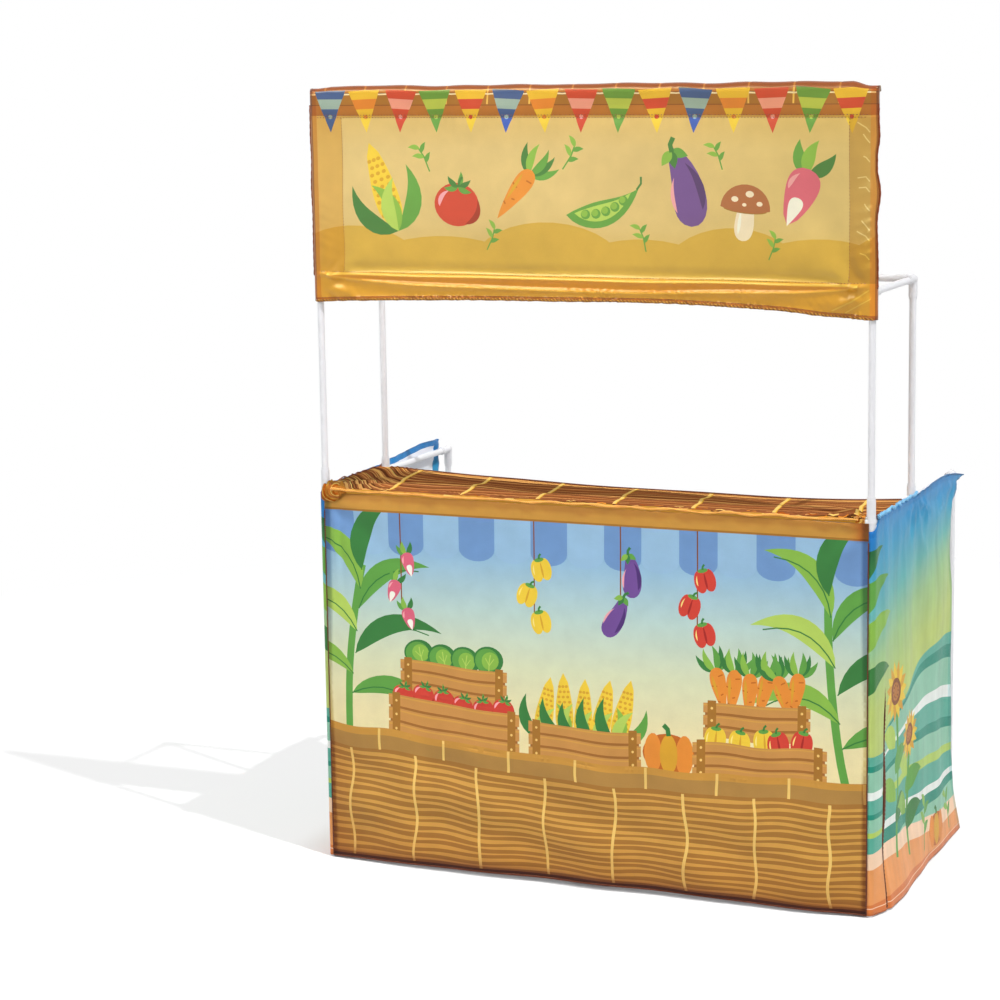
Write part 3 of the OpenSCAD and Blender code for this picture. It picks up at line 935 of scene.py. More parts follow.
def crateOf(x, y, wide, tall, filling=()):
    # slatted crate that stands on y, with its filling showing over the top
    look = crateLook
    left, right = x - wide / 2, x + wide / 2
    parts = [*filling, ("crateDark", slab(left, y, right, y + tall))]
    rise = (tall - look["gap"] * (look["planks"] - 1)) / look["planks"]
    lows = [y + i * (rise + look["gap"]) for i in range(look["planks"])]
    for low in lows:
        for tone, start, end in (("crate", 0, 1), ("slat", *look["lit"])):
            plank = slab(left - look["over"], low + rise * start, right + look["over"], low + rise * end)
            parts.append((tone, plank))
    for side in (-1, 1):
        edge = x + side * (wide / 2 - look["postIn"])
        post = slab(edge - look["postHalf"], y, edge + look["postHalf"], y + tall + look["gap"])
        parts.append(("beamDark", post))
        for low in lows:
            parts.append(("tie", disc(edge, low + rise * 0.45, look["nail"], look["nail"], 0, 8)))
    return parts


def heap(motif, x, y, count, pitch, size, seed):
    rng = np.random.default_rng(seed)
    parts = []
    for i in range(count):
        along = x + (i - (count - 1) / 2) * pitch
        parts += stamp(motif, along, y + rng.uniform(-0.004, 0.006), size, rng.uniform(-0.3, 0.3))
    return parts


def cornPlant(x, y, tall, lean):
    # stalk with long leaves; each has its place on the stalk, its side, its reach and its rise
    parts = [("leafMid", ribbon(bowed(x, y, x + lean, y + tall, 0.03, np.linspace(0, 1, 9)), 0.013))]
    leaves = ((0.2, 1, 0.15, -0.02), (0.32, -1, 0.15, 0.02), (0.46, 1, 0.16, 0.05), (0.6, -1, 0.14, 0.06),
              (0.74, 1, 0.13, 0.08), (0.86, -1, 0.11, 0.1), (0.97, 1, 0.06, 0.12))
    for i, (share, side, reach, rise) in enumerate(leaves):
        startX = x + lean * share
        startY = y + tall * share
        tone = ("leafMid", "leaf", "leafDeep", "lime")[i % 4]
        leaf = blade(startX, startY, startX + side * reach, startY + rise, 0.036, 0.22 * side, 14)
        parts.append((tone, leaf))
        vein = bowed(startX, startY, startX + side * reach * 0.85, startY + rise * 0.9, 0.2 * side,
                     np.linspace(0, 1, 8))
        parts.append(("leafDeep", ribbon(vein, 0.0022)))
    return parts


def slatWall(x0, x1, low, high, pitch):
    parts = []
    wave = 0.0012
    for i in range(int((high - low) / pitch)):
        y = low + (i + 0.5) * pitch
        parts.append(("slat", bandBetween(
            x0, x1,
            lambda x: y - pitch * 0.22 + wave * np.sin(x * 23 + i * 1.7),
            lambda x: y + pitch * 0.22 + wave * np.sin(x * 19 + i * 2.3), 60,
        )))
    return parts


def frontPrint():
    half, ledge = frontHalf + 0.01, frontLook["ledge"]
    wall = dict(
        beam=0.028, ledgeHigh=0.006, ledgeLow=0.029, slatPitch=0.0112, ties=8, tieAt=0.42, shortTie=0.055,
    )
    beamLow = frontTop - wall["beam"]
    art = []
    # striped valance with round ends under the beam
    valance = dict(count=15, drop=0.052)
    wide = 2 * half / valance["count"]
    for i in range(valance["count"]):
        x = -half + (i + 0.5) * wide
        tone = ("skyTop", "skyPale")[i % 2]
        art.append((tone, slab(x - wide / 2, beamLow - valance["drop"], x + wide / 2, beamLow + 0.002)))
        art.append((tone, disc(x, beamLow - valance["drop"], wide, wide * 0.62, 0, 22)))
    # plants at both edges
    art += cornPlant(-0.43, ledge, 0.30, 0.03)
    art += cornPlant(0.435, ledge, 0.31, -0.03)
    # goods on the ledge
    cabbages = heap(cabbage(), -0.235, ledge + 0.15, 4, 0.043, 0.055, 1)
    tomatoes = heap(tomato(), -0.235, ledge + 0.074, 6, 0.037, 0.042, 2)
    art += crateOf(-0.235, ledge + 0.075, 0.19, 0.06, cabbages)
    art += crateOf(-0.235, ledge, 0.235, 0.068, tomatoes)
    art += heap(cornCob(), 0.0, ledge + 0.088, 5, 0.034, 0.105, 3)
    art += crateOf(0.0, ledge, 0.19, 0.062)
    art += stamp(pumpkin(), 0.145, ledge + 0.037, 0.088)
    art += heap(carrot(), 0.29, ledge + 0.15, 6, 0.026, 0.11, 5)
    art += crateOf(0.29, ledge + 0.062, 0.17, 0.056)
    art += heap(pepper("yellow", "amber"), 0.262, ledge + 0.062, 3, 0.04, 0.05, 6)
    art += heap(pepper("red", "redDeep"), 0.345, ledge + 0.062, 2, 0.04, 0.05, 7)
    art += crateOf(0.295, ledge, 0.215, 0.055)
    # strings of goods that hang from the beam
    strings = ((-0.33, radish(), 3, 0.055), (-0.09, pepper("yellow", "amber"), 3, 0.05),
               (0.06, aubergine(), 2, 0.075), (0.19, pepper("red", "redDeep"), 3, 0.05))
    low = beamLow - 0.075
    for x, motif, count, size in strings:
        art.append(("plankDark", ribbon([(x, beamLow), (x + 0.001, low - size * 0.8 * (count - 1))], 0.0022)))
        for i in range(count):
            aside, turn = ((0.012, 0.25), (-0.011, -0.3))[i % 2]
            art += stamp(motif, x + aside, low - i * size * 0.86, size, turn)
    # beam, ledge and slatted wall
    art.append(("beam", slab(-half, beamLow, half, frontTop + 0.01)))
    art.append(("beamDark", slab(-half, beamLow, half, beamLow + 0.0035)))
    art.append(("slatDark", slab(-half, 0, half, ledge)))
    art += slatWall(-half, half, 0.0, ledge - 0.032, wall["slatPitch"])
    art.append(("beam", slab(-half, ledge - wall["ledgeHigh"], half, ledge + wall["ledgeHigh"])))
    art.append(("ledge", slab(-half, ledge - wall["ledgeLow"], half, ledge - wall["ledgeHigh"])))
    for i in range(wall["ties"]):
        x = -half + (i + wall["tieAt"]) * 2 * half / wall["ties"]
        art.append(("tie", ribbon([(x, 0.0), (x + 0.002, ledge * 0.4), (x - 0.001, ledge - 0.031)], 0.0048)))
        x += wall["shortTie"]
        art.append(("tie", ribbon([(x, ledge - 0.03), (x, ledge + 0.005)], 0.0045)))
    art.append(("hemBrown", slab(-half, 0, half, frontLook["hem"] + 0.007)))
    return art


clothLook = dict(
    gloss=0.22, sheen=0.04, sheenRough=0.45, blotch=0.2, speckle=0.2, crumple=0.8, relief=0.12,
    bump=(0.35, 0.0016), rough=(0.36, 0.54), tint=(1, 1, 1, 1), reversePale=0.91,
    reverseColour=(0.95, 0.95, 0.98, 1),
)
headerSheen = dict(
    clothLook, gloss=0.9, crumple=0.06, relief=0.02, rough=(0.282, 0.298), tint=(1.0, 0.82, 0.45, 1),
    reversePale=0.5, reverseColour=(0.84, 0.76, 0.58, 1),
)
coverFinish = clothFinish("coverCloth", clothLook)
headerFinish = clothFinish("headerCloth", headerSheen)
counterFinish = clothFinish("counterCloth", dict(clothLook, gloss=0.0, sheen=0.0))
# the piping's bright gold is partly a painted highlight along the rolled front edge
pipingFinish = threadFinish("pipingYarn", "piping", "orange")
rustFinish = threadFinish("rustHem", "rust", "rustDark")
darkFinish = threadFinish("darkSeam", "topDark", "rustDark")
# the seam's pale cyan is partly a painted highlight on its ruffles
blueFinish = threadFinish("blueSeam", "cyan", "cyanDeep")
goldHemFinish = threadFinish("goldHem", "amber", "rustDark", 105.0)
blueHemFinish = threadFinish("blueHem", "sideTeal", "blueDeep")
stitchFinish = threadFinish("stitchThread", "rust", "rustDark")

frontOutline = slab(-frontHalf, frontLook["hem"], frontHalf, frontTop)
frontHemTop = frontLook["hem"] + frontLook["hemWide"]
frontDoubled = [(np.array(frontLook["hemTone"]), slab(-postX, -0.01, postX, frontHemTop))]
# rows of points beside the seams, so that the darker strips there stay even
frontFine = np.concatenate([
    fineGrid(edge, frontLook["hem"] + 0.002, edge + 0.018, frontTop, 0.0026, 0.008)
    for edge in (-frontHalf + 0.001, frontHalf - 0.0185)
])
frontCloth = printedSheet(
    "frontCloth", frontOutline, placeFront, frontGround, frontPrint(), frontDoubled, frontLook["step"],
    hemmed=lambda x, y: (y < frontHemTop) * 1.0, warp=frontWarp, shade=frontShadeAndSeams, fine=frontFine,
)
frontCloth.data.materials.append(coverFinish)


# Counter cloth: it rolls over the front rail and sags to its free back edge
counterLook = dict(
    sag=0.018, dropRight=0.0108, dropFrom=-0.02, dropWide=0.46, dropEnd=0.028, notch=0.0078, step=0.0044,
    hemWide=0.012, slats=9, slatStart=0.6, slatWave=0.0014,
    puff=0.0105, puffFrom=0.430, puffRight=0.0055, puffAt=0.445, puffWide=0.013, ruffle=0.0072, ruffled=0.17,
    tabLow=0.015, tabHigh=0.0077, tabEdge=0.4715, ties=7, tieFirst=-0.353, tiePitch=0.1335, tieSlant=0.053,
    sweep=0.105, sweepWide=0.115, sweepRidge=0.0136, sweepHigh=0.0011, sweepTint=(0.50, 0.36, 0.28),
    gathered=((-1, 0.0022, 0.055, 2), (1, 0.0034, 0.036, 7)), gatherFolds=11, gatherY=0.004,
    sidePucker=0.0011, frontPucker=0.0009, ripple=0.0014, frontBulge=0.0016, pull=0.016,
    # creases that fan out from the front corners: side, reach, height and angles
    creases=((-1, 0.13, 0.0018, (7, 20, 34, 50, 68)), (1, 0.08, 0.0046, (10, 28, 48))),
    creaseY=0.022, creaseFrom=0.012, creaseWide=0.0065,
    # painted highlights and shade of small crumples on the roll over the rail, closer together towards the
    # right
    paintedCrumples=58, crumpleFrom=-0.37, crumpleRun=0.835, crumpleY=0.0105, crumpleLong=0.016,
)
counterHalf = postX + clothSkin
counterDeep = backY - frontY + clothSkin
counterLong = quarterTurn + counterDeep


def cornerPuff(x, y):
    # the roll over the rail is drawn together and puffed out, most at its left end
    look = counterLook
    middle = np.clip((-x - look["puffFrom"]) / (look["tabEdge"] + 0.002 - look["puffFrom"]), 0, 1)
    left = look["puff"] * np.sqrt(hump(middle ** 1.3)) * np.sqrt(np.clip((y + look["tabLow"]) / 0.016, 0, 1))
    right = look["puffRight"] * bell((x - look["puffAt"]) / look["puffWide"]) * smooth(y / 0.008)
    ruffles = 1 + look["ruffled"] * np.sin((x + 0.35 * y) * math.tau / look["ruffle"] + 2 * np.sin(x * 260))
    return (left + right) * (1 - smooth((y - 0.010) / 0.022)) * ruffles


def sweptShare(x):
    # 1 at the gathered left edge, where the slat lines are carried back, and 0 away from it
    return 1 - smooth((x + counterHalf) / counterLook["sweepWide"])


def sweptBack(x):
    return counterLook["sweep"] * sweptShare(x) ** 1.4


def placeCounter(x, y):
    look = counterLook
    u = np.clip(x / (2 * counterHalf) + 0.5, 0, 1)
    turn = np.clip(y / clothSkin, 0, math.pi / 2)
    back = np.maximum(y - quarterTurn, 0)
    depth = np.clip(back / counterDeep, 0, 1)
    # the free edge hangs lower towards the right end
    hang = look["dropRight"] * smooth((x - look["dropFrom"]) / look["dropWide"]) ** 1.3
    hang *= smooth((counterHalf - x) / look["dropEnd"])
    lift = -(look["sag"] * hump(u) + hang) * smooth(depth)
    # gathers at the front corners, ridges along the swept lines, and puckers along the seams
    for side, high, reach, seed in look["gathered"]:
        folds = gathers(x, y, side * postX, look["gatherY"], reach, look["gatherFolds"], seed)
        lift += high * folds * nearSide(u, side, 25)
    ridge = np.sin((y - sweptBack(x)) * math.tau / look["sweepRidge"])
    lift += look["sweepHigh"] * ridge * sweptShare(x) * nearSide(u, -1, 25)
    flatness = np.minimum(1, np.minimum(u, 1 - u) * 40)
    lift += look["sidePucker"] * puckers(y, counterHalf - np.abs(x), 0.019, 0.016, 8) * flatness
    lift += look["frontPucker"] * puckers(x, y - quarterTurn, 0.017, 0.012, 9)
    lift += look["ripple"] * ripples(x * 0.5, y, 0.11, 10) * flatness * smooth(depth * 3)
    for side, reach, high, angles in look["creases"]:
        corner = np.array((side * postX, look["creaseY"]))
        for angle in np.radians(angles):
            run = np.array((-side * math.cos(angle), math.sin(angle)))
            start, end = corner + look["creaseFrom"] * run, corner + reach * run
            lift += high * crease(x, y, start, end, look["creaseWide"])
    lift *= smooth(turn)
    puff = cornerPuff(x, y)
    reach = clothSkin + lift * 0.5 + puff + look["frontBulge"] * smooth(-y / 0.004)
    rise = clothSkin + lift + puff
    z = counterZ + rise * np.sin(turn) + np.minimum(y, 0)
    return columns(x, frontY - reach * np.cos(turn) + back, z)


def counterGround(x, y):
    return np.tile(ink["topBrown"], (len(x), 1))


def counterPrint():
    look = counterLook
    art = [("topBrown", slab(-counterHalf, -look["tabLow"], counterHalf, counterLong))]
    start = quarterTurn * look["slatStart"]
    pitch = (counterLong - start) / look["slats"]
    first = -math.ceil(look["sweep"] / pitch)
    far = counterHalf + 0.01
    wave = look["slatWave"]
    tones = ("topBrown", "topRust", "topBrown", "topTan", "topRust")
    # each slat has a body, a lit upper edge and a dark gap behind it
    for i in range(first, look["slats"]):
        y = start + i * pitch
        lines = ((tones[i % 5], 0.06, 0.52), ("topTan", 0.56, 0.68), (tones[(i * 3 + 1) % 5], 0.68, 0.84),
                 ("topDark", 0.84, 1.0))
        for k, (tone, low, high) in enumerate(lines):
            art.append((tone, bandBetween(
                -far, far,
                lambda x: y + sweptBack(x) + pitch * low + wave * np.sin(x * 17 + i * 2.1 + k),
                lambda x: y + sweptBack(x) + pitch * high + wave * np.sin(x * 13 + i * 1.3 + k), 110,
            )))
    # thin lines of painted highlight and shade on the gathers run between the lines where they sweep back
    x = np.linspace(-far, -counterHalf + look["sweepWide"] * 0.9, 26)
    gathered = (("tie", 0.0011), ("topDark", 0.0024), ("topTan", 0.0014))
    for i in range(first * 2, look["slats"] * 2):
        y = start + (i + 0.62) * pitch / 2 + sweptBack(x) + 0.0012 * np.sin(x * 60 + i)
        tone, wide = gathered[i % 3]
        art.append((tone, ribbon(columns(x, y), wide)))
    art.append(("beam", slab(-postX + 0.03, -0.001, counterHalf, quarterTurn * 0.55)))
    # the puffed left corner is orange, and both corners have lines of painted highlight and shade drawn into
    # their gathers
    art.append(("plank", disc(-0.455, 0.001, 0.056, 0.044, 0, 24)))
    arcs = (
        dict(x=-0.442, y=0.004, side=1, flat=0.72, first=0.006, pitch=0.0042, count=7,
             wides=(0.0026, 0.0011, 0.0022, 0.0016)),
        dict(x=0.449, y=0.005, side=-1, flat=0.8, first=0.004, pitch=0.0036, count=6,
             wides=(0.0024, 0.0012, 0.002)),
    )
    arcGlintsAndShade = ("rust", "tie", "topRust", "beam", "rust", "tie", "topBrown")
    turns = np.linspace(0.5, 1.62, 16) * math.pi
    for arc in arcs:
        for i in range(arc["count"]):
            size = arc["first"] + i * arc["pitch"]
            x = arc["x"] + arc["side"] * size * np.cos(turns)
            y = arc["y"] + arc["flat"] * size * np.sin(turns)
            art.append((arcGlintsAndShade[i], ribbon(columns(x, y), arc["wides"][i % len(arc["wides"])])))
    # painted highlights and shade of crumples on the roll
    for i in range(look["paintedCrumples"]):
        share = 1 - (1 - i / look["paintedCrumples"]) ** 1.7
        x = look["crumpleFrom"] + look["crumpleRun"] * share + 0.004 * math.sin(i * 3.1)
        y = look["crumpleY"] + 0.0045 * math.sin(i * 2.3)
        bends = [(x, y), (x + look["crumpleLong"] / 2, y + 0.003 * math.sin(i * 1.9)),
                 (x + look["crumpleLong"], y - 0.002 * math.cos(i * 2.7))]
        tone = ("tie", "topTan", "rust", "orange", "topDark")[i % 5]
        art.append((tone, ribbon(bends, (0.0015, 0.0022, 0.0018, 0.0013)[i % 4])))
    for i in range(look["ties"]):
        x = look["tieFirst"] + i * look["tiePitch"]
        slant = look["tieSlant"]
        bends = [(x, 0.010), (x - slant * 0.2, counterLong * 0.28), (x - slant * 0.58, counterLong * 0.55),
                 (x - slant, counterLong)]
        art.append(("tie", ribbon(bends, 0.0055)))
        art.append(("amber", ribbon([(a + 0.0035, b) for a, b in bends], 0.0018)))
    art.append(("topDark", slab(-counterHalf, counterLong - 0.004, counterHalf, counterLong + 0.001)))
    return art


def counterWarp(points):
    # the slat lines are drawn in towards the gathered right corner
    x, y = points[:, 0], points[:, 1]
    pull = counterLook["pull"] * bell(np.hypot(x - postX, y - 0.05) / 0.05)
    return columns(x, y - pull * smooth(y / 0.05) + 0.0012 * ripples(x, y, 0.12, 52))


def counterShade(x, y):
    # deeper in colour where the lines sweep back, most near the front
    near = sweptShare(x) * (1 - smooth((y - 0.05) / 0.13)) * (y > quarterTurn * counterLook["slatStart"])
    return toned(near, counterLook["sweepTint"])


def counterOutline():
    # the corners are cut out round the posts, and a tab hangs in front of the left one
    look = counterLook
    edge, inner, low = counterHalf, postX - look["notch"], look["tabLow"]
    front = quarterTurn + look["notch"]
    rear = quarterTurn + backY - frontY - look["notch"]
    start = -look["puffFrom"]
    tab = [(-inner, look["tabHigh"] + 0.001), (-look["tabEdge"], look["tabHigh"]),
           (-look["tabEdge"], -low * 0.7), (-postX + 0.006, -low), (start - 0.018, -low * 0.95),
           (start - 0.008, -low * 0.5), (start - 0.004, 0)]
    return [*tab, (inner, 0), (inner, front), (edge, front), (edge, rear), (inner, rear),
            (inner, counterLong), (-inner, counterLong), (-inner, rear), (-edge, rear), (-edge, front),
            (-inner, front)]


# closer points in the two puffed corners
counterFine = np.concatenate([
    fineGrid(-counterLook["tabEdge"], -counterLook["tabLow"], -0.42, 0.034, 0.0016, 0.0018),
    fineGrid(0.415, 0.001, postX - 0.008, 0.034, 0.0017, 0.0019),
])
counterCloth = printedSheet(
    "counterCloth", counterOutline(), placeCounter, counterGround, counterPrint(), [], counterLook["step"],
    hemmed=lambda x, y: (y > counterLong - counterLook["hemWide"]) * 1.0, warp=counterWarp,
    shade=counterShade, fine=counterFine,
)
counterCloth.data.materials.append(counterFinish)


# Wings: each starts at the seam on the front, rounds the front leg and runs back to a free rear edge
wingLook = dict(
    hem=0.003, hemWide=0.0105, hemTone=(0.70, 0.86, 0.90), fold=0.003, folds=2, step=0.0052,
    legSleeve=0.046, sleeveIn=0.010, seamTop=0.36, seamFade=0.12, seamDeep=0.003, seamFlat=0.8,
    pucker=0.0013, wave=0.0032, streak=0.0006, rearGather=0.0025, postGather=0.0018, earOut=0.002,
    rearWave=0.0015,
    spot=(0.283, 0.611), spotGather=0.0016, spotReach=0.011, pulledIn=0.004,
    flareHigh=0.14, flareAt=0.085, flareWide=0.16, flareLeast=0.3,
    groundStops=(0.28, 0.36, 0.44, 0.51, 0.58, 0.65),
    groundTones=("sideGlow", "sideGlow", "sideGreen", "sideSea", "sideTeal", "sideBlue"),
    # painted shade under the front post and in a pucker, and a painted highlight on a crease
    cornerShadeTint=(0.60, 0.40, 0.10), streaked=0.05, puckerShade=0.22, creaseGlint=0.35,
)
# the right wing's upper corner sticks out past the leg; the left one stops short of it and stands higher
rightEdge = dict(
    side=1, dip=0.021, rearHem=0.011, tipZ=0.6235, tip=0.044, flare=0.0175,
    heights=(0.0, 0.039, 0.09, 0.16, 0.23, 0.30, 0.37, 0.44, 0.505, 0.555, 0.588, 0.604, 0.615, 0.6205,
             0.6235),
    reaches=(0.031, 0.012, -0.005, -0.018, -0.030, -0.038, -0.041, -0.036, -0.031, -0.0305, -0.0225,
             -0.006, -0.004, 0.004, 0.044),
    topPlaces=(0.0, 0.24, 0.4435, 0.49, 0.534), topRaise=(0.0, 0.0, 0.0, -0.0066, -0.0148),
)
leftEdge = dict(
    side=-1, dip=0.012, rearHem=0.020, tipZ=0.6505, tip=-0.020, flare=0.004,
    heights=(0.0, 0.10, 0.24, 0.36, 0.485, 0.555, 0.60, 0.63, 0.6505),
    reaches=(0.031, 0.012, -0.012, -0.023, -0.029, -0.031, -0.027, -0.0225, -0.020),
    topPlaces=(0.0, 0.236, 0.33, 0.414, 0.47), topRaise=(0.0, 0.004, 0.0095, 0.0147, 0.013),
)
wingSeam = frontLook["seamIn"]
wingStart = wingSeam + quarterTurn
wingLong = rearY - frontY


def wingTop(edge, s):
    # top edge: it dips round the front post and at the back post, and has its own rise or droop behind it
    y = s - wingStart
    top = counterZ + clothSkin - 0.0004 + curveThrough(np.clip(y, 0, 1), edge["topPlaces"], edge["topRaise"])
    top = top - edge["dip"] * bell(np.maximum(s - 0.004, 0) / 0.017)
    return top - 0.0015 * bell((y - (backY - frontY)) / 0.012)


def wingEnd(edge, z):
    # rear edge, measured back from the rear leg
    return curveThrough(np.minimum(z, edge["tipZ"]), edge["heights"], edge["reaches"])


def wingOutline(edge):
    end = wingStart + wingLong
    rearZ = np.concatenate([np.linspace(wingLook["hem"], 0.58, 45), np.linspace(0.585, edge["tipZ"], 40)])
    rear = columns(end + wingEnd(edge, rearZ), rearZ)
    topS = np.linspace(end + edge["tip"] - 0.002, 0, 130)
    top = columns(topS, wingTop(edge, topS))
    return np.concatenate([[(0, wingLook["hem"])], rear, top])


def legSeam(z):
    # the seam of the sleeve round the front leg, measured back from the leg; it fades out above
    return wingLook["legSleeve"] - wingLook["sleeveIn"] * (1 - smooth(z / 0.16))


def wingPlacer(edge):
    def place(s, z):
        look = wingLook
        side = edge["side"]
        turn = np.clip((s - wingSeam) / clothSkin, 0, math.pi / 2)
        back = np.maximum(s - wingStart, 0)
        u = np.clip(back / wingLong, 0, 1)
        v = np.clip((z - look["hem"]) / (counterZ - look["hem"]), 0, 1)
        out = look["fold"] * (1 - np.cos(math.tau * look["folds"] * u)) / 2 * hump(v)
        free = np.minimum(1, back * 30)
        topAway = np.maximum(counterZ + clothSkin - z, 0)
        held = free * (back < backY - frontY + 0.03)
        out += look["pucker"] * puckers(back, topAway, 0.016, 0.016, 21 + side) * held
        out += look["wave"] * ripples(back, z * 0.3, 0.11, 22 + side) * free * (0.3 + hump(v))
        out += look["streak"] * ripples(back, z * 0.12, 0.035, 27 + side) * free * smooth((z - 0.3) / 0.2)
        out += look["rearGather"] * gathers(back, z, wingLong - 0.01, counterZ, 0.06, 8, 23 + side) * free
        out += look["postGather"] * gathers(back, z, backY - frontY, counterZ + 0.005, 0.045, 9, 25) * free
        out += look["spotGather"] * gathers(back, z, *look["spot"], look["spotReach"], 6, 28)
        out += look["earOut"] * smooth((back - wingLong) / 0.05) * smooth((z - 0.57) / 0.05)
        out += look["rearWave"] * np.sin(z * 31 + 1) * smooth((back - wingLong + 0.09) / 0.09) * hump(v)
        # it flares towards the hem, most a little behind the front leg
        most = bell((back - look["flareAt"]) / look["flareWide"])
        wide = (look["flareLeast"] + (1 - look["flareLeast"]) * most) * smooth(back / 0.05)
        out += edge["flare"] * wide * (1 - smooth(z / look["flareHigh"])) ** 1.5
        # the sleeve round the front leg is full, and pinched along its seam
        sewn = 1 - smooth((z - look["seamTop"] + look["seamFade"]) / look["seamFade"])
        full = hump(np.clip(back / legSeam(z), 0, 1)) - bell((back - legSeam(z)) / 0.004)
        out += sewn * look["seamDeep"] * full
        # it cannot pass into the tubes and connectors that it lies on
        rails = np.maximum(bell((z - counterZ) / 0.016), bell((z - 0.008) / 0.016))
        legs = np.maximum(bell(back / 0.014), bell((back - wingLong) / 0.016))
        out = np.maximum(out, -look["pulledIn"] * (1 - np.maximum(rails, legs)) ** 3)
        reach = clothSkin + out
        x = postX - wingSeam + np.minimum(s, wingSeam) + reach * np.sin(turn)
        y = frontY - reach * np.cos(turn) + back
        return columns(side * x, y, z)
    return place


def wingGround(s, z):
    # blue at the top, then teal and green, with a warm glow low down towards the rear
    tilt = 0.10 * np.clip(s / wingLong - 0.3, -0.3, 0.7) * (1 - smooth((z - 0.5) / 0.12))
    return gradient(z - tilt, wingLook["groundStops"], wingLook["groundTones"])


def wingStreaksShadeAndGlint(s, z):
    # painted shade in deeper blue under the front post, faint upright streaks, painted shade in a pucker and
    # a painted highlight on a crease
    look = wingLook
    # painted shade in deeper blue under the front post
    corner = (1 - smooth(s / 0.034)) * smooth((z - 0.53) / 0.06)
    streak = look["streaked"] * ripples(s, z * 0.08, 0.024, 61)
    # a painted shadow in a small pucker, and a painted highlight along a small crease
    streak -= look["puckerShade"] * bell((s - 0.236) / 0.012) * bell((z - 0.598) / 0.007)
    slant = z - 0.592 - 0.3 * (s - 0.40)
    streak += look["creaseGlint"] * bell((s - 0.40) / 0.016) * bell(slant / 0.0022)
    return toned(corner, look["cornerShadeTint"]) * (1 + streak)[:, None]


def sunflowerPlant(x, y, tall, size):
    parts = [("leafMid", ribbon(bowed(x, y, x + 0.008, y + tall, -0.05, np.linspace(0, 1, 9)), 0.009))]
    leaves = ((0.2, 1, 0.075), (0.34, -1, 0.07), (0.5, 1, 0.07), (0.66, -1, 0.055))
    for i, (share, side, reach) in enumerate(leaves):
        startY = y + tall * share
        tone = ("leafDeep", "leaf", "leafMid", "lime")[i]
        leaf = blade(x + 0.004, startY, x + side * reach, startY + 0.03, 0.038, 0.16 * side, 12)
        parts.append((tone, leaf))
    return parts + stamp(sunflower(), x + 0.008, y + tall, size)


def wingPrint():
    far = wingStart + wingLong + 0.06
    seam = wingStart + wingLook["legSleeve"]
    art = []
    # rolling fields in curved strips, then the path; the print is cut off at the leg sleeve's seam
    bands = (("fieldMint", 0.30, 0.05), ("field", 0.285, 0.05), ("fieldPale", 0.272, 0.046),
             ("foam", 0.235, 0.04), ("fieldMint", 0.222, 0.04), ("field", 0.196, 0.036),
             ("fieldPale", 0.186, 0.034), ("lime", 0.16, 0.028), ("fieldMint", 0.15, 0.026),
             ("foam", 0.118, 0.02), ("field", 0.108, 0.018), ("fieldPale", 0.09, 0.014))
    for i, (tone, high, rise) in enumerate(bands):
        art.append((tone, bandBetween(
            seam, far, lambda s: s * 0 - 0.01,
            lambda s: high + rise * np.sin((s - 0.12) * 6.0 + i * 0.22) + 0.05 * s, 60,
        )))
        art.append((tone, slab(-0.01, -0.01, seam, high - rise * 0.8)))
    strips = (("earthPale", 0.088, 0.018, 8, 1), ("earth", 0.062, 0.018, 8, 1),
              ("earthDeep", 0.02, 0.006, 11, 0))
    for tone, high, wave, turns, shift in strips:
        art.append((tone, bandBetween(
            -0.01, far, lambda s: s * 0 - 0.01, lambda s: high + wave * np.sin(s * turns + shift), 40,
        )))
    art.append(("earthPale", slab(-0.01, wingLook["hem"] + 0.0105, far, wingLook["hem"] + 0.0120)))
    # leaves that reach round the front corner
    leaves = ((0.34, 0.085, 0.05, "leafDeep"), (0.40, 0.10, 0.075, "leaf"), (0.455, 0.075, 0.085, "leafMid"),
              (0.50, 0.05, 0.09, "leafDeep"))
    for z, reach, rise, tone in leaves:
        art.append((tone, blade(-0.03, z, reach, z + rise, 0.036, 0.2, 14)))
    art += sunflowerPlant(0.115, 0.07, 0.27, 0.1)
    art += sunflowerPlant(0.20, 0.05, 0.20, 0.085)
    art += stamp(sprig(), 0.30, 0.075, 0.09, -0.2)
    art += stamp(pumpkin(), 0.37, 0.052, 0.075)
    art += stamp(sprig(), 0.45, 0.06, 0.075, 0.25)
    return art


def wingHems(edge, s, z):
    end = wingStart + wingLong
    rear = end + wingEnd(edge, z) - edge["rearHem"]
    return ((z > wingTop(edge, s) - wingLook["hemWide"]) | (s > rear)) * 1.0


def wingDoubled(edge):
    # the turned hems at the top and rear edges
    end = wingStart + wingLong
    wide = wingLook["hemWide"]
    tone = np.array(wingLook["hemTone"])
    z = np.linspace(-0.01, edge["tipZ"], 60)
    inner = columns(end + wingEnd(edge, z) - edge["rearHem"], z)
    outer = columns(end + wingEnd(edge, z) + 0.02, z)
    top = bandBetween(-0.01, end + min(edge["tip"], 0) - wide, lambda s: wingTop(edge, s) - wide,
                      lambda s: wingTop(edge, s) + 0.02, 90)
    return [(tone, np.concatenate([inner, outer[::-1]])), (tone, top)]


def makeWing(name, edge):
    # the left wing is drawn as the mirror image, so that its printed face also looks outwards
    side = edge["side"]
    place = wingPlacer(edge)
    flip = np.array((side, 1))
    seam = fineGrid(wingStart + 0.026, 0.004, wingStart + 0.056, wingLook["seamTop"], 0.0022, 0.005) * flip
    piece = printedSheet(
        name, wingOutline(edge) * flip, lambda x, y: place(x * side, y), lambda x, y: wingGround(x * side, y),
        [(tone, points * flip) for tone, points in wingPrint()],
        [(tone, points * flip) for tone, points in wingDoubled(edge)],
        wingLook["step"], hemmed=lambda x, y: wingHems(edge, x * side, y),
        shade=lambda x, y: wingStreaksShadeAndGlint(x * side, y), fine=seam,
    )
    piece.data.materials.append(coverFinish)
    return piece


rightWing = makeWing("rightWing", rightEdge)
leftWing = makeWing("leftWing", leftEdge)


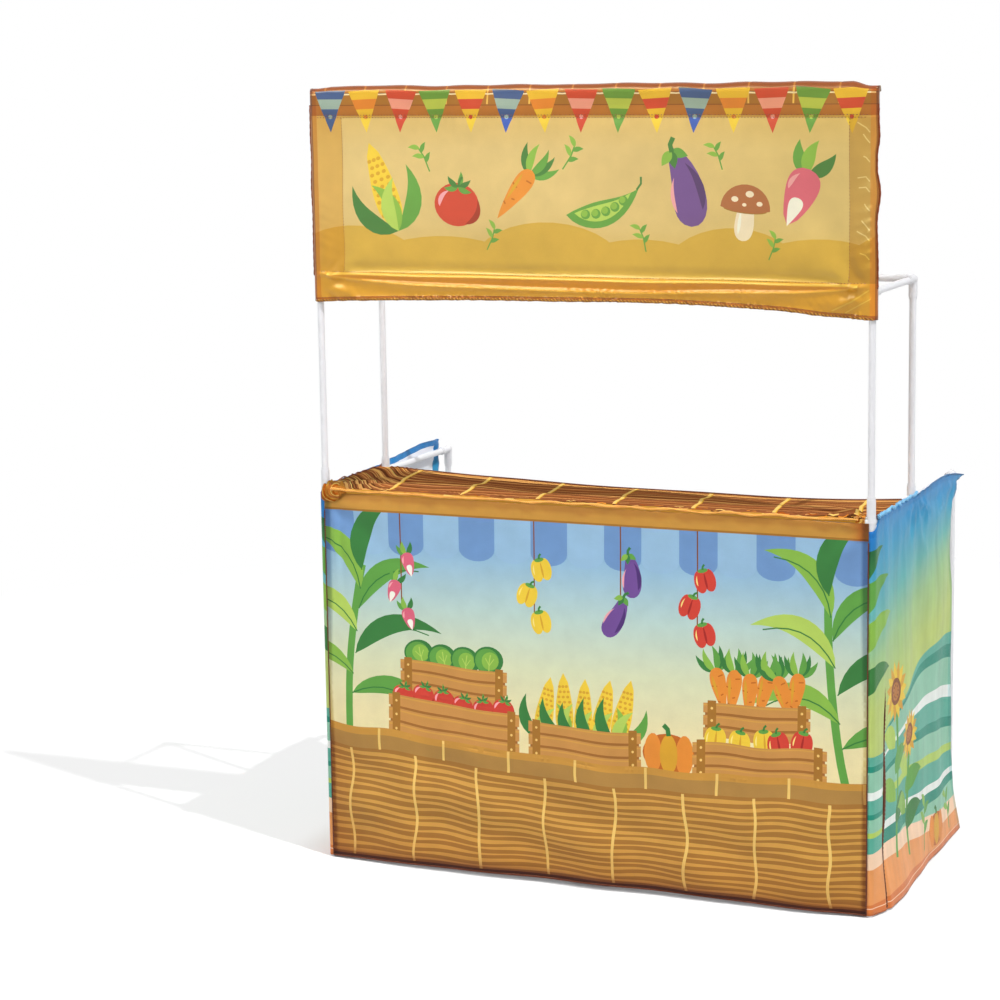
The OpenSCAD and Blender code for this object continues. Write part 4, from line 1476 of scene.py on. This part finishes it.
# Header: one sheet whose edges turn back round the tubes and are sewn down as sleeves
headerLook = dict(
    drop=0.035, dropEnds=0.0038, rise=0.013, lean=0.0028, fold=0.002, folds=4, step=0.0048,
    sleeveLeft=0.050, sleeveRight=0.0345, sleeveTop=0.038, slant=0.93, seamRise=0.014, sideLow=0.004,
    sideHigh=0.016, waveLeft=0.10, waveRight=0.42, waveLong=0.075, crown=0.0045, crownWave=0.0008,
    ripple=0.0022, rippleLong=0.17,
    ridge=0.009, ridgeApart=0.018, ridgeEnd=0.451, ridgeWave=0.0008, upperHigh=0.0040, lowerHigh=0.0036,
    seamDip=0.0026, hemDip=0.0018, sleeveDip=0.0014, hemPucker=0.0018, topPucker=0.0013,
    puckerLeft=0.0020, puckerRight=0.0030,
    gathered=((-1, 0.0024, 0.05, 35), (1, 0.0026, 0.055, 38)), gatherFolds=8,  # side, height, reach and seed
    creases=(((0.405, 0.955), (0.470, 0.992)), ((0.425, 0.953), (0.474, 0.979)),
             ((-0.40, 0.958), (-0.468, 0.985))),
    creaseHigh=0.0032, creaseWide=0.0042,
    # the print: its ground, its deeper zones, painted highlights on the right sleeve's folds, and doubled
    # cloth with painted glints
    groundStops=(0.95, 1.08, 1.2, 1.3), groundTones=("goldDeep", "gold", "gold", "goldDeep"),
    rightTint=(0.10, 0.11, 0.22), lowTint=(0.04, 0.05, 0.12), foldGlint=(0.9, 1.4, 2.8),
    # painted highlights on the right sleeve's folds: count, lowest, pitch and width
    glintFolds=9, foldLow=1.035, foldPitch=0.0245, foldWide=0.0019,
    # glint is a painted highlight; the other tones are of doubled and turned cloth and hems
    tones=dict(
        sleeve=(0.90, 0.74, 0.46), lower=(1.08, 0.84, 0.42), between=(0.98, 0.78, 0.5),
        turned=(0.86, 0.62, 0.44), edge=(0.55, 0.40, 0.34), glint=(1.14, 1.42, 2.3), hem=(0.62, 0.36, 0.24),
    ),
)
# the hem's way back up behind the lower tube: depth from the tube's axis, and rise over the bottom edge
headerBack = np.array([(-clothSkin, 0.0), (clothSkin * 0.6, 0.014), (clothSkin, 0.024), (clothSkin, 0.036),
                       (-clothSkin + 0.0014, 0.046)])


def headerBottom(x):
    # the bottom edge rises in the middle and hangs a little lower at its ends
    look = headerLook
    u = np.clip(x / (2 * postX) + 0.5, 0, 1)
    ends = 1 - smooth((x + 0.1) / 0.25) + smooth((x - 0.33) / 0.08)
    bottom = canopyZ - look["drop"] + look["rise"] * hump(u) - look["lean"] * x / postX
    return bottom - look["dropEnds"] * ends


def flapLength(sleeve):
    # the flap slants from the back of the tube to the seam on the front sheet
    return math.hypot(sleeve, 2 * clothSkin * headerLook["slant"])


def sleeveTurn(excess, sleeve):
    # round the tube, then along the flap to the seam: distance from the axis, and depth behind the front face
    angle = np.clip(excess / clothSkin, 0, math.pi)
    along = np.maximum(excess - halfTurn, 0) / flapLength(sleeve)
    depth = clothSkin * (1 - np.cos(angle) - along * 2 * headerLook["slant"])
    return clothSkin * np.sin(angle) - along * sleeve, depth


def sideSleeve(x):
    return np.where(x < 0, headerLook["sleeveLeft"], headerLook["sleeveRight"])


def ridges(x):
    # heights of the two ridges over the lower tube; they run together at both ends
    look = headerLook
    upper = canopyZ + look["ridge"] + look["ridgeWave"] * ripples(x, 0, 0.3, 37)
    apart = look["ridgeApart"] * np.sqrt(np.clip(1 - (x / look["ridgeEnd"]) ** 2, 0, 1))
    return upper, upper - apart


def sleeveFolds(x, z):
    away = postX - np.abs(x)
    return puckers(z + 0.35 * away, away, 0.023, 0.017, 34)


def headerFront(x, z):
    # how far the front face stands out: slack, ridges over the lower tube, and puckers along the seams
    look = headerLook
    bottom = headerBottom(x)
    u = np.clip(x / (2 * postX) + 0.5, 0, 1)
    v = np.clip((z - bottom) / (topZ - bottom), 0, 1)
    edge = np.clip(np.minimum(postX - np.abs(x), topZ - z) / 0.02, 0, 1)
    clear = np.clip((postX - np.abs(x) - 0.04) / 0.03, 0, 1)
    inner = postX - sideSleeve(x)
    seam = canopyZ + look["seamRise"]
    high = topZ - look["sleeveTop"]
    out = look["fold"] * (1 - np.cos(math.tau * look["folds"] * u)) / 2 * hump(v)
    out += look["ripple"] * ripples(x * 0.5, z, look["rippleLong"], 31)
    upper, lower = ridges(x)
    out += look["upperHigh"] * bell((z - upper) / 0.0042) + look["lowerHigh"] * bell((z - lower) / 0.0040)
    out -= look["seamDip"] * clear * bell((z - seam - 0.008) / 0.006)
    out -= look["hemDip"] * clear * bell((z - bottom - 0.011) / 0.005)
    out += look["hemPucker"] * puckers(x + (z - bottom) * 0.9, z - bottom, 0.017, 0.018, 32)
    out += look["topPucker"] * puckers(x, high - z, 0.019, 0.014, 33)
    out -= look["sleeveDip"] * bell((z - high) / 0.005)
    out -= look["sleeveDip"] * bell((np.abs(x) - inner) / 0.004) * (z < high)
    out += np.where(x < 0, look["puckerLeft"], look["puckerRight"]) * sleeveFolds(x, z)
    for side, size, reach, seed in look["gathered"]:
        out += size * gathers(x, z, side * postX, canopyZ - 0.01, reach, look["gatherFolds"], seed)
    for start, end in look["creases"]:
        out += look["creaseHigh"] * crease(x, z, start, end, look["creaseWide"])
    return out * edge


def placeHeader(x, y):
    look = headerLook
    side = np.sign(x)
    aside = np.maximum(np.abs(x) - postX, 0)
    left, right = (sleeveTurn(aside, look[name]) for name in ("sleeveLeft", "sleeveRight"))
    sideOut, sideDepth = np.where(x < 0, left, right)
    # the side sleeves waver between their ends, the right one more
    free = smooth((y - canopyZ - 0.03) / 0.05) * smooth((topZ - 0.03 - y) / 0.05)
    wave = np.where(x < 0, look["waveLeft"], look["waveRight"]) * ripples(y, 0, look["waveLong"], 36)
    sideOut += np.maximum(sideOut, 0) * np.clip(wave, -0.25, 0.5) * free
    topOut, topDepth = sleeveTurn(np.maximum(y - topZ, 0), look["sleeveTop"])
    # the loose sleeve stands a little above its tube, more to the right, and falls away at the corners
    inside = postX - np.abs(x)
    crown = look["crown"] * (1.15 + 0.45 * x / postX) * smooth((inside - 0.004) / 0.03)
    crown += look["crownWave"] * ripples(x, 0, 0.08, 39) * smooth((inside - 0.01) / 0.03)
    topOut += np.maximum(topOut, 0) / clothSkin * crown
    bottom = headerBottom(x)
    below = np.maximum(bottom - y, 0)
    steps = runAlong(headerBack)
    hemDepth = np.interp(below, steps, headerBack[:, 0] + clothSkin)
    hemRise = np.interp(below, steps, headerBack[:, 1])
    px = np.clip(x, -postX, postX) + side * sideOut
    pz = np.where(below > 0, bottom + hemRise, np.minimum(y, topZ) + topOut)
    # a flap follows the front face less the deeper it lies behind it
    depth = np.minimum(np.hypot(np.maximum(sideDepth, 0), np.maximum(topDepth, 0)), 2 * clothSkin)
    depth = np.maximum(depth + hemDepth, 0)
    share = np.clip(1 - depth / (2 * clothSkin), 0, 1)
    py = frontY - clothSkin + depth - headerFront(px, pz) * share
    return columns(px, py, pz)


def headerOutline():
    # the front with four tabs, cut away at the corners where the connectors sit
    look = headerLook
    leftTab, rightTab = (postX + halfTurn + flapLength(look[name]) for name in ("sleeveLeft", "sleeveRight"))
    crown = topZ + halfTurn + flapLength(look["sleeveTop"])
    low = canopyZ + look["sideLow"]
    high = topZ - look["sideHigh"]
    behind = runAlong(headerBack)[-1]
    capX = postX + clothSkin * 2.0
    hemX = postX - clothSkin - 0.001
    edgeX = np.linspace(-capX, capX, 90)
    bottom = columns(edgeX, headerBottom(edgeX))
    hem = edgeX[np.abs(edgeX) < hemX]
    hemLow = columns(hem, headerBottom(hem) - behind)
    left = bottom[edgeX <= -hemX]
    right = bottom[edgeX >= hemX]
    return np.concatenate([
        left, hemLow, right,
        [(capX, low), (rightTab, low + 0.012), (rightTab, high - 0.012), (capX, high)],
        [(capX, topZ + halfTurn), (postX - clothSkin, topZ + halfTurn + 0.002), (postX - 0.014, crown)],
        [(-postX + 0.014, crown), (-postX + clothSkin, topZ + halfTurn + 0.002), (-capX, topZ + halfTurn)],
        [(-capX, high), (-leftTab, high - 0.012), (-leftTab, low + 0.012), (-capX, low)],
    ])


def headerToneAndGlints(x, y):
    # a little deeper in colour to the right and low down, with painted highlights on the folds along the
    # right sleeve
    look = headerLook
    right = smooth((x + 0.05) / 0.5)
    low = 1 - smooth((y - 1.0) / 0.14)
    # painted highlights on the folds of the right sleeve
    folds = np.clip(sleeveFolds(x, y), 0, 1) ** 2 * smooth((x - postX + 0.045) / 0.02) * (x < postX)
    return toned(right, look["rightTint"]) * toned(low, look["lowTint"]) * toned(-folds, look["foldGlint"])


def headerGround(x, y):
    return gradient(y, headerLook["groundStops"], headerLook["groundTones"])


def headerPrint():
    far = postX + halfTurn + 0.05
    art = []
    # rounded heaps along the lower border
    border = ((-0.52, 0.17, 1.05), (-0.40, 0.20, 1.075), (-0.24, 0.24, 1.06), (-0.06, 0.22, 1.085),
              (0.10, 0.21, 1.06), (0.25, 0.19, 1.08), (0.39, 0.21, 1.065), (0.53, 0.18, 1.08))
    for x, wide, high in border:
        art.append(("ochre", disc(x, 1.0, wide * 1.25, (high - 1.0) * 2, 0, 34)))
    art.append(("ochre", slab(-far, 0.86, far, 1.012)))
    # planks along the top, with ties
    planks = (("plank", 1.252, 1.268), ("plankDark", 1.268, 1.2695), ("beamDark", 1.2695, 1.286),
              ("plankDark", 1.286, 1.288), ("plank", 1.288, 1.40))
    for tone, low, high in planks:
        art.append((tone, slab(-far, low, far, high)))
    for i in range(13):
        x = -postX + (i + 0.3) * 2 * postX / 13
        art.append(("tie", ribbon([(x, 1.27), (x + 0.002, 1.40)], 0.003)))
    # produce across the middle
    goods = ((cornCob(), -0.345, 1.135, 0.145, 0.35), (tomato(), -0.215, 1.115, 0.085, -0.1),
             (carrot(), -0.10, 1.145, 0.135, -0.7), (peaPod(), 0.035, 1.115, 0.115, 0.2),
             (aubergine(), 0.16, 1.145, 0.13, 0.45), (mushroom(), 0.27, 1.105, 0.09, -0.1),
             (radish(), 0.365, 1.15, 0.125, -0.4))
    for motif, x, y, size, turn in goods:
        art += stamp(motif, x, y, size, turn)
    sprigs = ((-0.275, 1.185, 0.05, 0.5), (-0.155, 1.06, 0.045, -0.4), (-0.02, 1.19, 0.05, -0.5),
              (0.10, 1.062, 0.045, 0.3), (0.225, 1.19, 0.045, 0.4), (0.315, 1.052, 0.042, -0.3))
    for x, y, size, turn in sprigs:
        art += stamp(sprig(), x, y, size, turn)
    # row of pennants on a string
    pennants = dict(count=15, tall=0.066, high=1.258)
    tones = (("blue", "skyBand"), ("yellow", "orange"), ("red", "rose"), ("leafMid", "lime"),
             ("yellow", "red"))
    string = np.linspace(-postX - 0.006, postX + 0.006, 61)
    art.append(("white", ribbon(columns(string, 1.289 - 0.003 * np.abs(np.sin(string * 50))), 0.0022)))
    for i in range(pennants["count"]):
        x = -postX + (i + 0.5) * 2 * postX / pennants["count"]
        body, mark = tones[i % len(tones)]
        turn = 0.06 * math.sin(i * 2.3)
        art += stamp(pennant(body, mark), x, pennants["high"], pennants["tall"], turn)
    return art


def headerDoubledAndGlints():
    look = headerLook
    tone = {name: np.array(value) for name, value in look["tones"].items()}
    high = topZ - look["sleeveTop"]
    seam = canopyZ + look["seamRise"]
    far = postX + halfTurn + 0.08
    floor, roof = 0.8, 1.45  # below and above the whole sheet
    edgeX = np.linspace(-postX - 0.02, postX + 0.02, 80)
    low = columns(edgeX, headerBottom(edgeX) - 0.004)
    rise = columns(edgeX, headerBottom(edgeX) + 0.0065)
    ridgeX = np.linspace(-look["ridgeEnd"], look["ridgeEnd"], 90)
    upper, under = (columns(ridgeX, z) for z in ridges(ridgeX))
    # painted highlights on the folds of the right sleeve
    folds = []
    for i in range(look["glintFolds"]):
        z = look["foldLow"] + i * look["foldPitch"] + 0.005 * math.sin(i * 2.1)
        reach = 0.017 + 0.006 * math.sin(i * 1.7)
        bends = [(postX - 0.003, z), (postX - 0.009, z + 0.007),
                 (postX - reach, z + 0.010 + 0.005 * math.sin(i))]
        folds.append((tone["glint"] * 1.2, ribbon(bends, look["foldWide"])))
    return folds + [
        (tone["sleeve"], slab(-far, high, far, roof)),
        (tone["sleeve"], slab(-far, seam, -postX + look["sleeveLeft"], high)),
        (tone["sleeve"] * 0.86, slab(postX - look["sleeveRight"], seam, far, high)),
        (tone["lower"], slab(-far, floor, far, seam)),
        (tone["turned"], slab(-far, floor, -postX + 0.006, roof)),
        (tone["turned"] * 1.28, slab(postX - 0.002, floor, far, roof)),
        (tone["edge"], slab(-far, floor, -postX - 0.0015, roof)),
        (tone["edge"], slab(postX + 0.0062, floor, far, roof)),
        (tone["between"], np.concatenate([upper, under[::-1]])),
        # painted highlights along the two ridges over the lower tube and on the creases at the lower right
        # corner
        (tone["glint"], ribbon(upper + np.array((0, 0.0012)), 0.0042)),
        (tone["glint"], ribbon(under + np.array((0, 0.001)), 0.003)),
        (tone["glint"], ribbon([(0.408, 0.956), (0.440, 0.971), (0.467, 0.989)], 0.0021)),
        (tone["glint"], ribbon([(0.428, 0.953), (0.470, 0.976)], 0.0016)),
        (tone["hem"], np.concatenate([low, rise[::-1]])),
        (tone["hem"], slab(-far, topZ + 0.004, far, topZ + 0.02)),
    ]


# rows of points along the ridges and the hem, so that they stay sharp
ridgeX = np.arange(-postX + 0.006, postX - 0.006, 0.005)
ridgeSteps = (-0.0066, -0.0044, -0.0022, 0.0002, 0.0024, 0.0046, 0.0068)
hemSteps = (-0.0016, 0.0013, 0.0032, 0.0052, 0.0078)
headerFine = np.concatenate([
    *[columns(ridgeX, ridge + step) for ridge in ridges(ridgeX) for step in ridgeSteps],
    *[columns(ridgeX, headerBottom(ridgeX) + step) for step in hemSteps],
])
headerCloth = printedSheet(
    "headerSheet", headerOutline(), placeHeader, headerGround, headerPrint(), headerDoubledAndGlints(),
    headerLook["step"], shade=headerToneAndGlints, fine=headerFine,
)
headerCloth.data.materials.append(headerFinish)


# Trims of the header: a rolled golden hem, edges on the sleeves and rows of stitches
trimLook = dict(
    headerHem=0.0021, headerHemWave=0.0003, headerEdge=0.0013, headerEdgeWave=0.0003,
    piping=0.0019, pipingWave=0.0006, pipingRise=0.0012, counterHem=0.0014, cornerSeam=0.0009, topHem=0.0011,
    sideSeam={-1: (0.0014, 0.0006), 1: (0.0026, 0.0016)}, sideRise=0.0028, sideAside=0.0014,
    legSeam=0.0015, legSeamFull=0.0030, legSeamAt=0.185, legSeamLong=0.085, legSeamWave=0.0003,
    frontHem=0.0015, frontHemFull=0.0006,
)
edgeX = np.linspace(-postX - 0.004, postX + 0.004, 200)
path, out = onSheet(placeHeader, edgeX, headerBottom(edgeX) + 0.0012, -0.0006)
size = trimLook["headerHem"] + trimLook["headerHemWave"] * ripples(edgeX, 0, 0.02, 40)
headerTrims = [sewnRoll("headerHem", path, out, size, goldHemFinish)]
for side, label in ((-1, "Left"), (1, "Right")):
    z = np.linspace(canopyZ + headerLook["sideLow"] + 0.002, topZ - headerLook["sideHigh"] - 0.002, 70)
    path, out = onSheet(placeHeader, side * (postX + clothSkin * 1.25), z, 0.0004)
    size = trimLook["headerEdge"] + trimLook["headerEdgeWave"] * np.sin(z * 500)
    headerTrims.append(sewnRoll("headerEdge" + label, path, out, size, rustFinish))
rows = dict(verts=[], faces=[])
highSeam = topZ - headerLook["sleeveTop"]
lowSeam = canopyZ + headerLook["seamRise"]
lineX = np.linspace(-postX + 0.004, postX - 0.004, 260)
for z in (highSeam, highSeam + 0.004):
    stitchRow(rows, placeHeader, lineX, z)
for side in (-1, 1):
    stitchRow(rows, placeHeader, side * (postX - float(sideSleeve(side))), np.linspace(lowSeam, highSeam, 90))
stitchRow(rows, placeHeader, lineX, headerBottom(lineX) + 0.006)
stitchRow(rows, placeHeader, lineX, lowSeam)
headerTrims.append(meshPiece("headerStitches", rows["verts"], rows["faces"], stitchFinish))
print("header trimmed")


# Trims of the cover: piping on the counter's front edge, the corner seams, the counter's side seams and hems
coverTrims = {name: [] for name in ("counterCloth", "frontCloth", "rightWing", "leftWing")}


def sewTrim(sheet, name, place, x, y, size, finish, lift=0.0, side=1):
    # a plain roll along a line on a sheet; side turns its outside round on the mirrored left wing
    path, out = onSheet(place, x, y, lift)
    coverTrims[sheet].append(sewnRoll(name, path, side * out, size, finish))


lineX = np.linspace(-postX + 0.018, postX - 0.018, 240)
path, out = onSheet(placeCounter, lineX, 0.004, 0.0006)
path[:, 2] += trimLook["pipingRise"] * ripples(lineX, 0, 0.05, 41)
size = trimLook["piping"] + trimLook["pipingWave"] * ripples(lineX, 0, 0.014, 42)
coverTrims["counterCloth"].append(sewnRoll("counterPiping", path, out, size, pipingFinish))
sewTrim("counterCloth", "counterHem", placeCounter, lineX, counterLong - 0.001,
        trimLook["counterHem"], darkFinish)
for side, label in ((-1, "left"), (1, "right")):
    # the counter's side seams run in small waves
    line = np.linspace(quarterTurn + 0.009, counterLong - 0.004, 150)
    path, out = onSheet(placeCounter, side * (counterHalf - 0.0006), line, 0.0003)
    path[:, 2] += trimLook["sideRise"] * puckers(line, 0, 0.027, 1.0, 44)
    path[:, 0] += trimLook["sideAside"] * puckers(line, 0, 0.017, 1.0, 45)
    thick, uneven = trimLook["sideSeam"][side]
    size = thick + uneven * puckers(line, 0, 0.021, 1.0, 43)
    finish = blueFinish if side > 0 else rustFinish
    coverTrims["counterCloth"].append(sewnRoll(label + "CounterSeam", path, out, size, finish))
    line = np.linspace(frontLook["hem"], counterZ - 0.03, 120)
    sewTrim("frontCloth", label + "CornerSeam", placeFront, side * (frontHalf - 0.0005), line,
            trimLook["cornerSeam"], darkFinish, lift=0.0004)
    # the leg sleeve's seam lies on the outside and is thickest half way down
    edge = rightEdge if side > 0 else leftEdge
    line = np.linspace(0.006, wingLook["seamTop"], 110)
    place = wingPlacer(edge)
    path, out = onSheet(place, wingStart + legSeam(line), line)
    full = bell((line - trimLook["legSeamAt"]) / trimLook["legSeamLong"])
    size = trimLook["legSeam"] + trimLook["legSeamFull"] * full + trimLook["legSeamWave"] * np.sin(line * 900)
    size *= smooth((wingLook["seamTop"] + 0.01 - line) / 0.06)
    flat = wingLook["seamFlat"]
    path += side * out * (flat * size)[:, None]
    coverTrims[label + "Wing"].append(sewnRoll(label + "LegSeam", path, side * out, size, darkFinish, flat))
    # a dark line along the top edge behind the back post
    line = np.linspace(wingStart + backY - frontY + 0.004, wingStart + wingLong + edge["tip"] - 0.004, 110)
    sewTrim(label + "Wing", label + "TopHem", place, line, wingTop(edge, line) - 0.0008,
            trimLook["topHem"], blueHemFinish, side=side)
hemX = np.linspace(-frontHalf, frontHalf, 240)
size = trimLook["frontHem"] + trimLook["frontHemFull"] * bell((hemX + 0.12) / 0.16)
sewTrim("frontCloth", "frontHem", placeFront, hemX, frontLook["hem"] + 0.0008, size, darkFinish)
print("cover trimmed")


# Who moves with what, and which frame nodes each sheet stands in for
def declareSheet(piece, body, nodes, outline, trims):
    outline = np.array(outline, float)
    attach(piece, body)
    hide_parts(*nodes)
    for trim in trims:
        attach(trim, body)


declareSheet(frontCloth, "base_frame", ["front_panel"], frontOutline,
             coverTrims["frontCloth"])
declareSheet(counterCloth, "base_frame", ["counter_panel"], counterOutline(),
             coverTrims["counterCloth"])
declareSheet(rightWing, "base_frame", ["side_panel_right"], wingOutline(rightEdge),
             coverTrims["rightWing"])
declareSheet(leftWing, "base_frame", ["side_panel_left"], wingOutline(leftEdge),
             coverTrims["leftWing"])
declareSheet(headerCloth, "upper_frame",
             ["header_panel", "header_top_sleeve", "header_bottom_sleeve", "header_side_sleeve_left",
              "header_side_sleeve_right"],
             headerOutline(),
             headerTrims)
print("cloth declared")


# Stage: a white floor that keeps the shadow, a white world, one key lamp and one soft box in front
stageLook = dict(
    worldLight=0.56, floorWide=60, floorTone=0.95, bounceTone=0.62, floorGlow=0.63, shadeNear=1.9,
    shadeFar=2.7, contactReach=0.10, contactPower=3.2,
    keyPlace=(2.595, -1.557, 5.583), keyEnergy=29.0, keyRadius=0.05,
    softPlace=(-1.6, -2.9, 3.6), softAim=(0.0, -0.2, 0.9), softSize=0.9, softEnergy=60.0,
)


def showsBackground(tree):
    # 1 for the rays that should see the plain white background
    rays = node(tree, "ShaderNodeLightPath")
    shown = rays.outputs["Is Camera Ray"]
    for label in ("Is Glossy Ray", "Is Transmission Ray"):
        shown = maths(tree, "MAXIMUM", shown, rays.outputs[label])
    return shown


def aimLamp(lamp, towards):
    lamp.rotation_mode = "QUATERNION"
    lamp.rotation_quaternion = towards.to_track_quat("-Z", "Y")


def makeFloor():
    bpy.ops.mesh.primitive_plane_add(size=stageLook["floorWide"], location=(0, 0, 0))
    floor = bpy.context.object
    floor.name = "studioFloor"
    material, tree = newMaterial("floorWhite")
    output = node(tree, "ShaderNodeOutputMaterial")
    shown = showsBackground(tree)
    # white where it is seen, and a pale grey in the light that it throws back on the object
    matte = node(tree, "ShaderNodeBsdfDiffuse")
    link(tree, spread(tree, shown, stageLook["bounceTone"], stageLook["floorTone"]), matte.inputs["Color"])
    glow = node(tree, "ShaderNodeEmission", Color=(1, 1, 1, 1), Strength=1.0)
    # far from the object it is plain white
    place = node(tree, "ShaderNodeTexCoord")
    away = node(tree, "ShaderNodeVectorMath", operation="LENGTH")
    link(tree, place.outputs["Object"], away.inputs[0])
    share = node(tree, "ShaderNodeMapRange")
    share.inputs["From Min"].default_value = stageLook["shadeNear"]
    share.inputs["From Max"].default_value = stageLook["shadeFar"]
    share.inputs["To Min"].default_value = stageLook["floorGlow"]
    link(tree, away.outputs["Value"], share.inputs["Value"])
    part = maths(tree, "MULTIPLY", shown, share.outputs["Result"])
    # the glow fades close under the cloth, which leaves a dark line of contact
    contact = node(tree, "ShaderNodeAmbientOcclusion", Distance=stageLook["contactReach"])
    clear = maths(tree, "POWER", contact.outputs["AO"], stageLook["contactPower"])
    mix = node(tree, "ShaderNodeMixShader")
    link(tree, maths(tree, "MULTIPLY", part, clear), mix.inputs["Fac"])
    link(tree, matte.outputs["BSDF"], mix.inputs[1])
    link(tree, glow.outputs["Emission"], mix.inputs[2])
    link(tree, mix.outputs["Shader"], output.inputs["Surface"])
    floor.data.materials.append(material)


def makeStage():
    makeFloor()
    world = bpy.data.worlds.new("studioWorld")
    bpy.context.scene.world = world
    world.use_nodes = True
    tree = world.node_tree
    tree.nodes.clear()
    output = node(tree, "ShaderNodeOutputWorld")
    background = node(tree, "ShaderNodeBackground", Color=(1, 1, 1, 1))
    level = spread(tree, showsBackground(tree), stageLook["worldLight"], 1.0)
    link(tree, level, background.inputs["Strength"])
    link(tree, background.outputs["Background"], output.inputs["Surface"])
    bpy.ops.object.light_add(type="POINT", location=stageLook["keyPlace"])
    key = bpy.context.object
    key.name = "keyLamp"
    key.data.energy = stageLook["keyEnergy"]
    key.data.shadow_soft_size = stageLook["keyRadius"]
    # as strong on the floor as on the header
    key.data.use_nodes = True
    tree = key.data.node_tree
    tree.nodes.clear()
    output = node(tree, "ShaderNodeOutputLight")
    shine = node(tree, "ShaderNodeEmission", Color=(1, 1, 1, 1))
    level = node(tree, "ShaderNodeLightFalloff", Strength=1.0)
    link(tree, level.outputs["Constant"], shine.inputs["Strength"])
    link(tree, shine.outputs["Emission"], output.inputs["Surface"])
    bpy.ops.object.light_add(type="AREA", location=stageLook["softPlace"])
    soft = bpy.context.object
    soft.name = "softBox"
    soft.data.shape = "SQUARE"
    soft.data.size = stageLook["softSize"]
    soft.data.energy = stageLook["softEnergy"]
    aimLamp(soft, Vector(stageLook["softAim"]) - Vector(stageLook["softPlace"]))


makeStage()
print("stage lit")

# Camera, fitted to the photograph
cameraLook = dict(
    place=(1.65509, -4.36496, 1.40368), yaw=23.683, tilt=80.274, roll=-0.937, lens=101.14, sensor=36,
)
camera = newPiece("photoCamera", bpy.data.cameras.new("photoCamera"))
camera.data.lens = cameraLook["lens"]
camera.data.sensor_width = cameraLook["sensor"]
camera.matrix_world = (
    Matrix.Translation(cameraLook["place"])
    @ Matrix.Rotation(math.radians(cameraLook["yaw"]), 4, "Z")
    @ Matrix.Rotation(math.radians(cameraLook["tilt"]), 4, "X")
    @ Matrix.Rotation(math.radians(cameraLook["roll"]), 4, "Z")
)
bpy.context.scene.camera = camera
bpy.context.scene.view_settings.view_transform = "Standard"
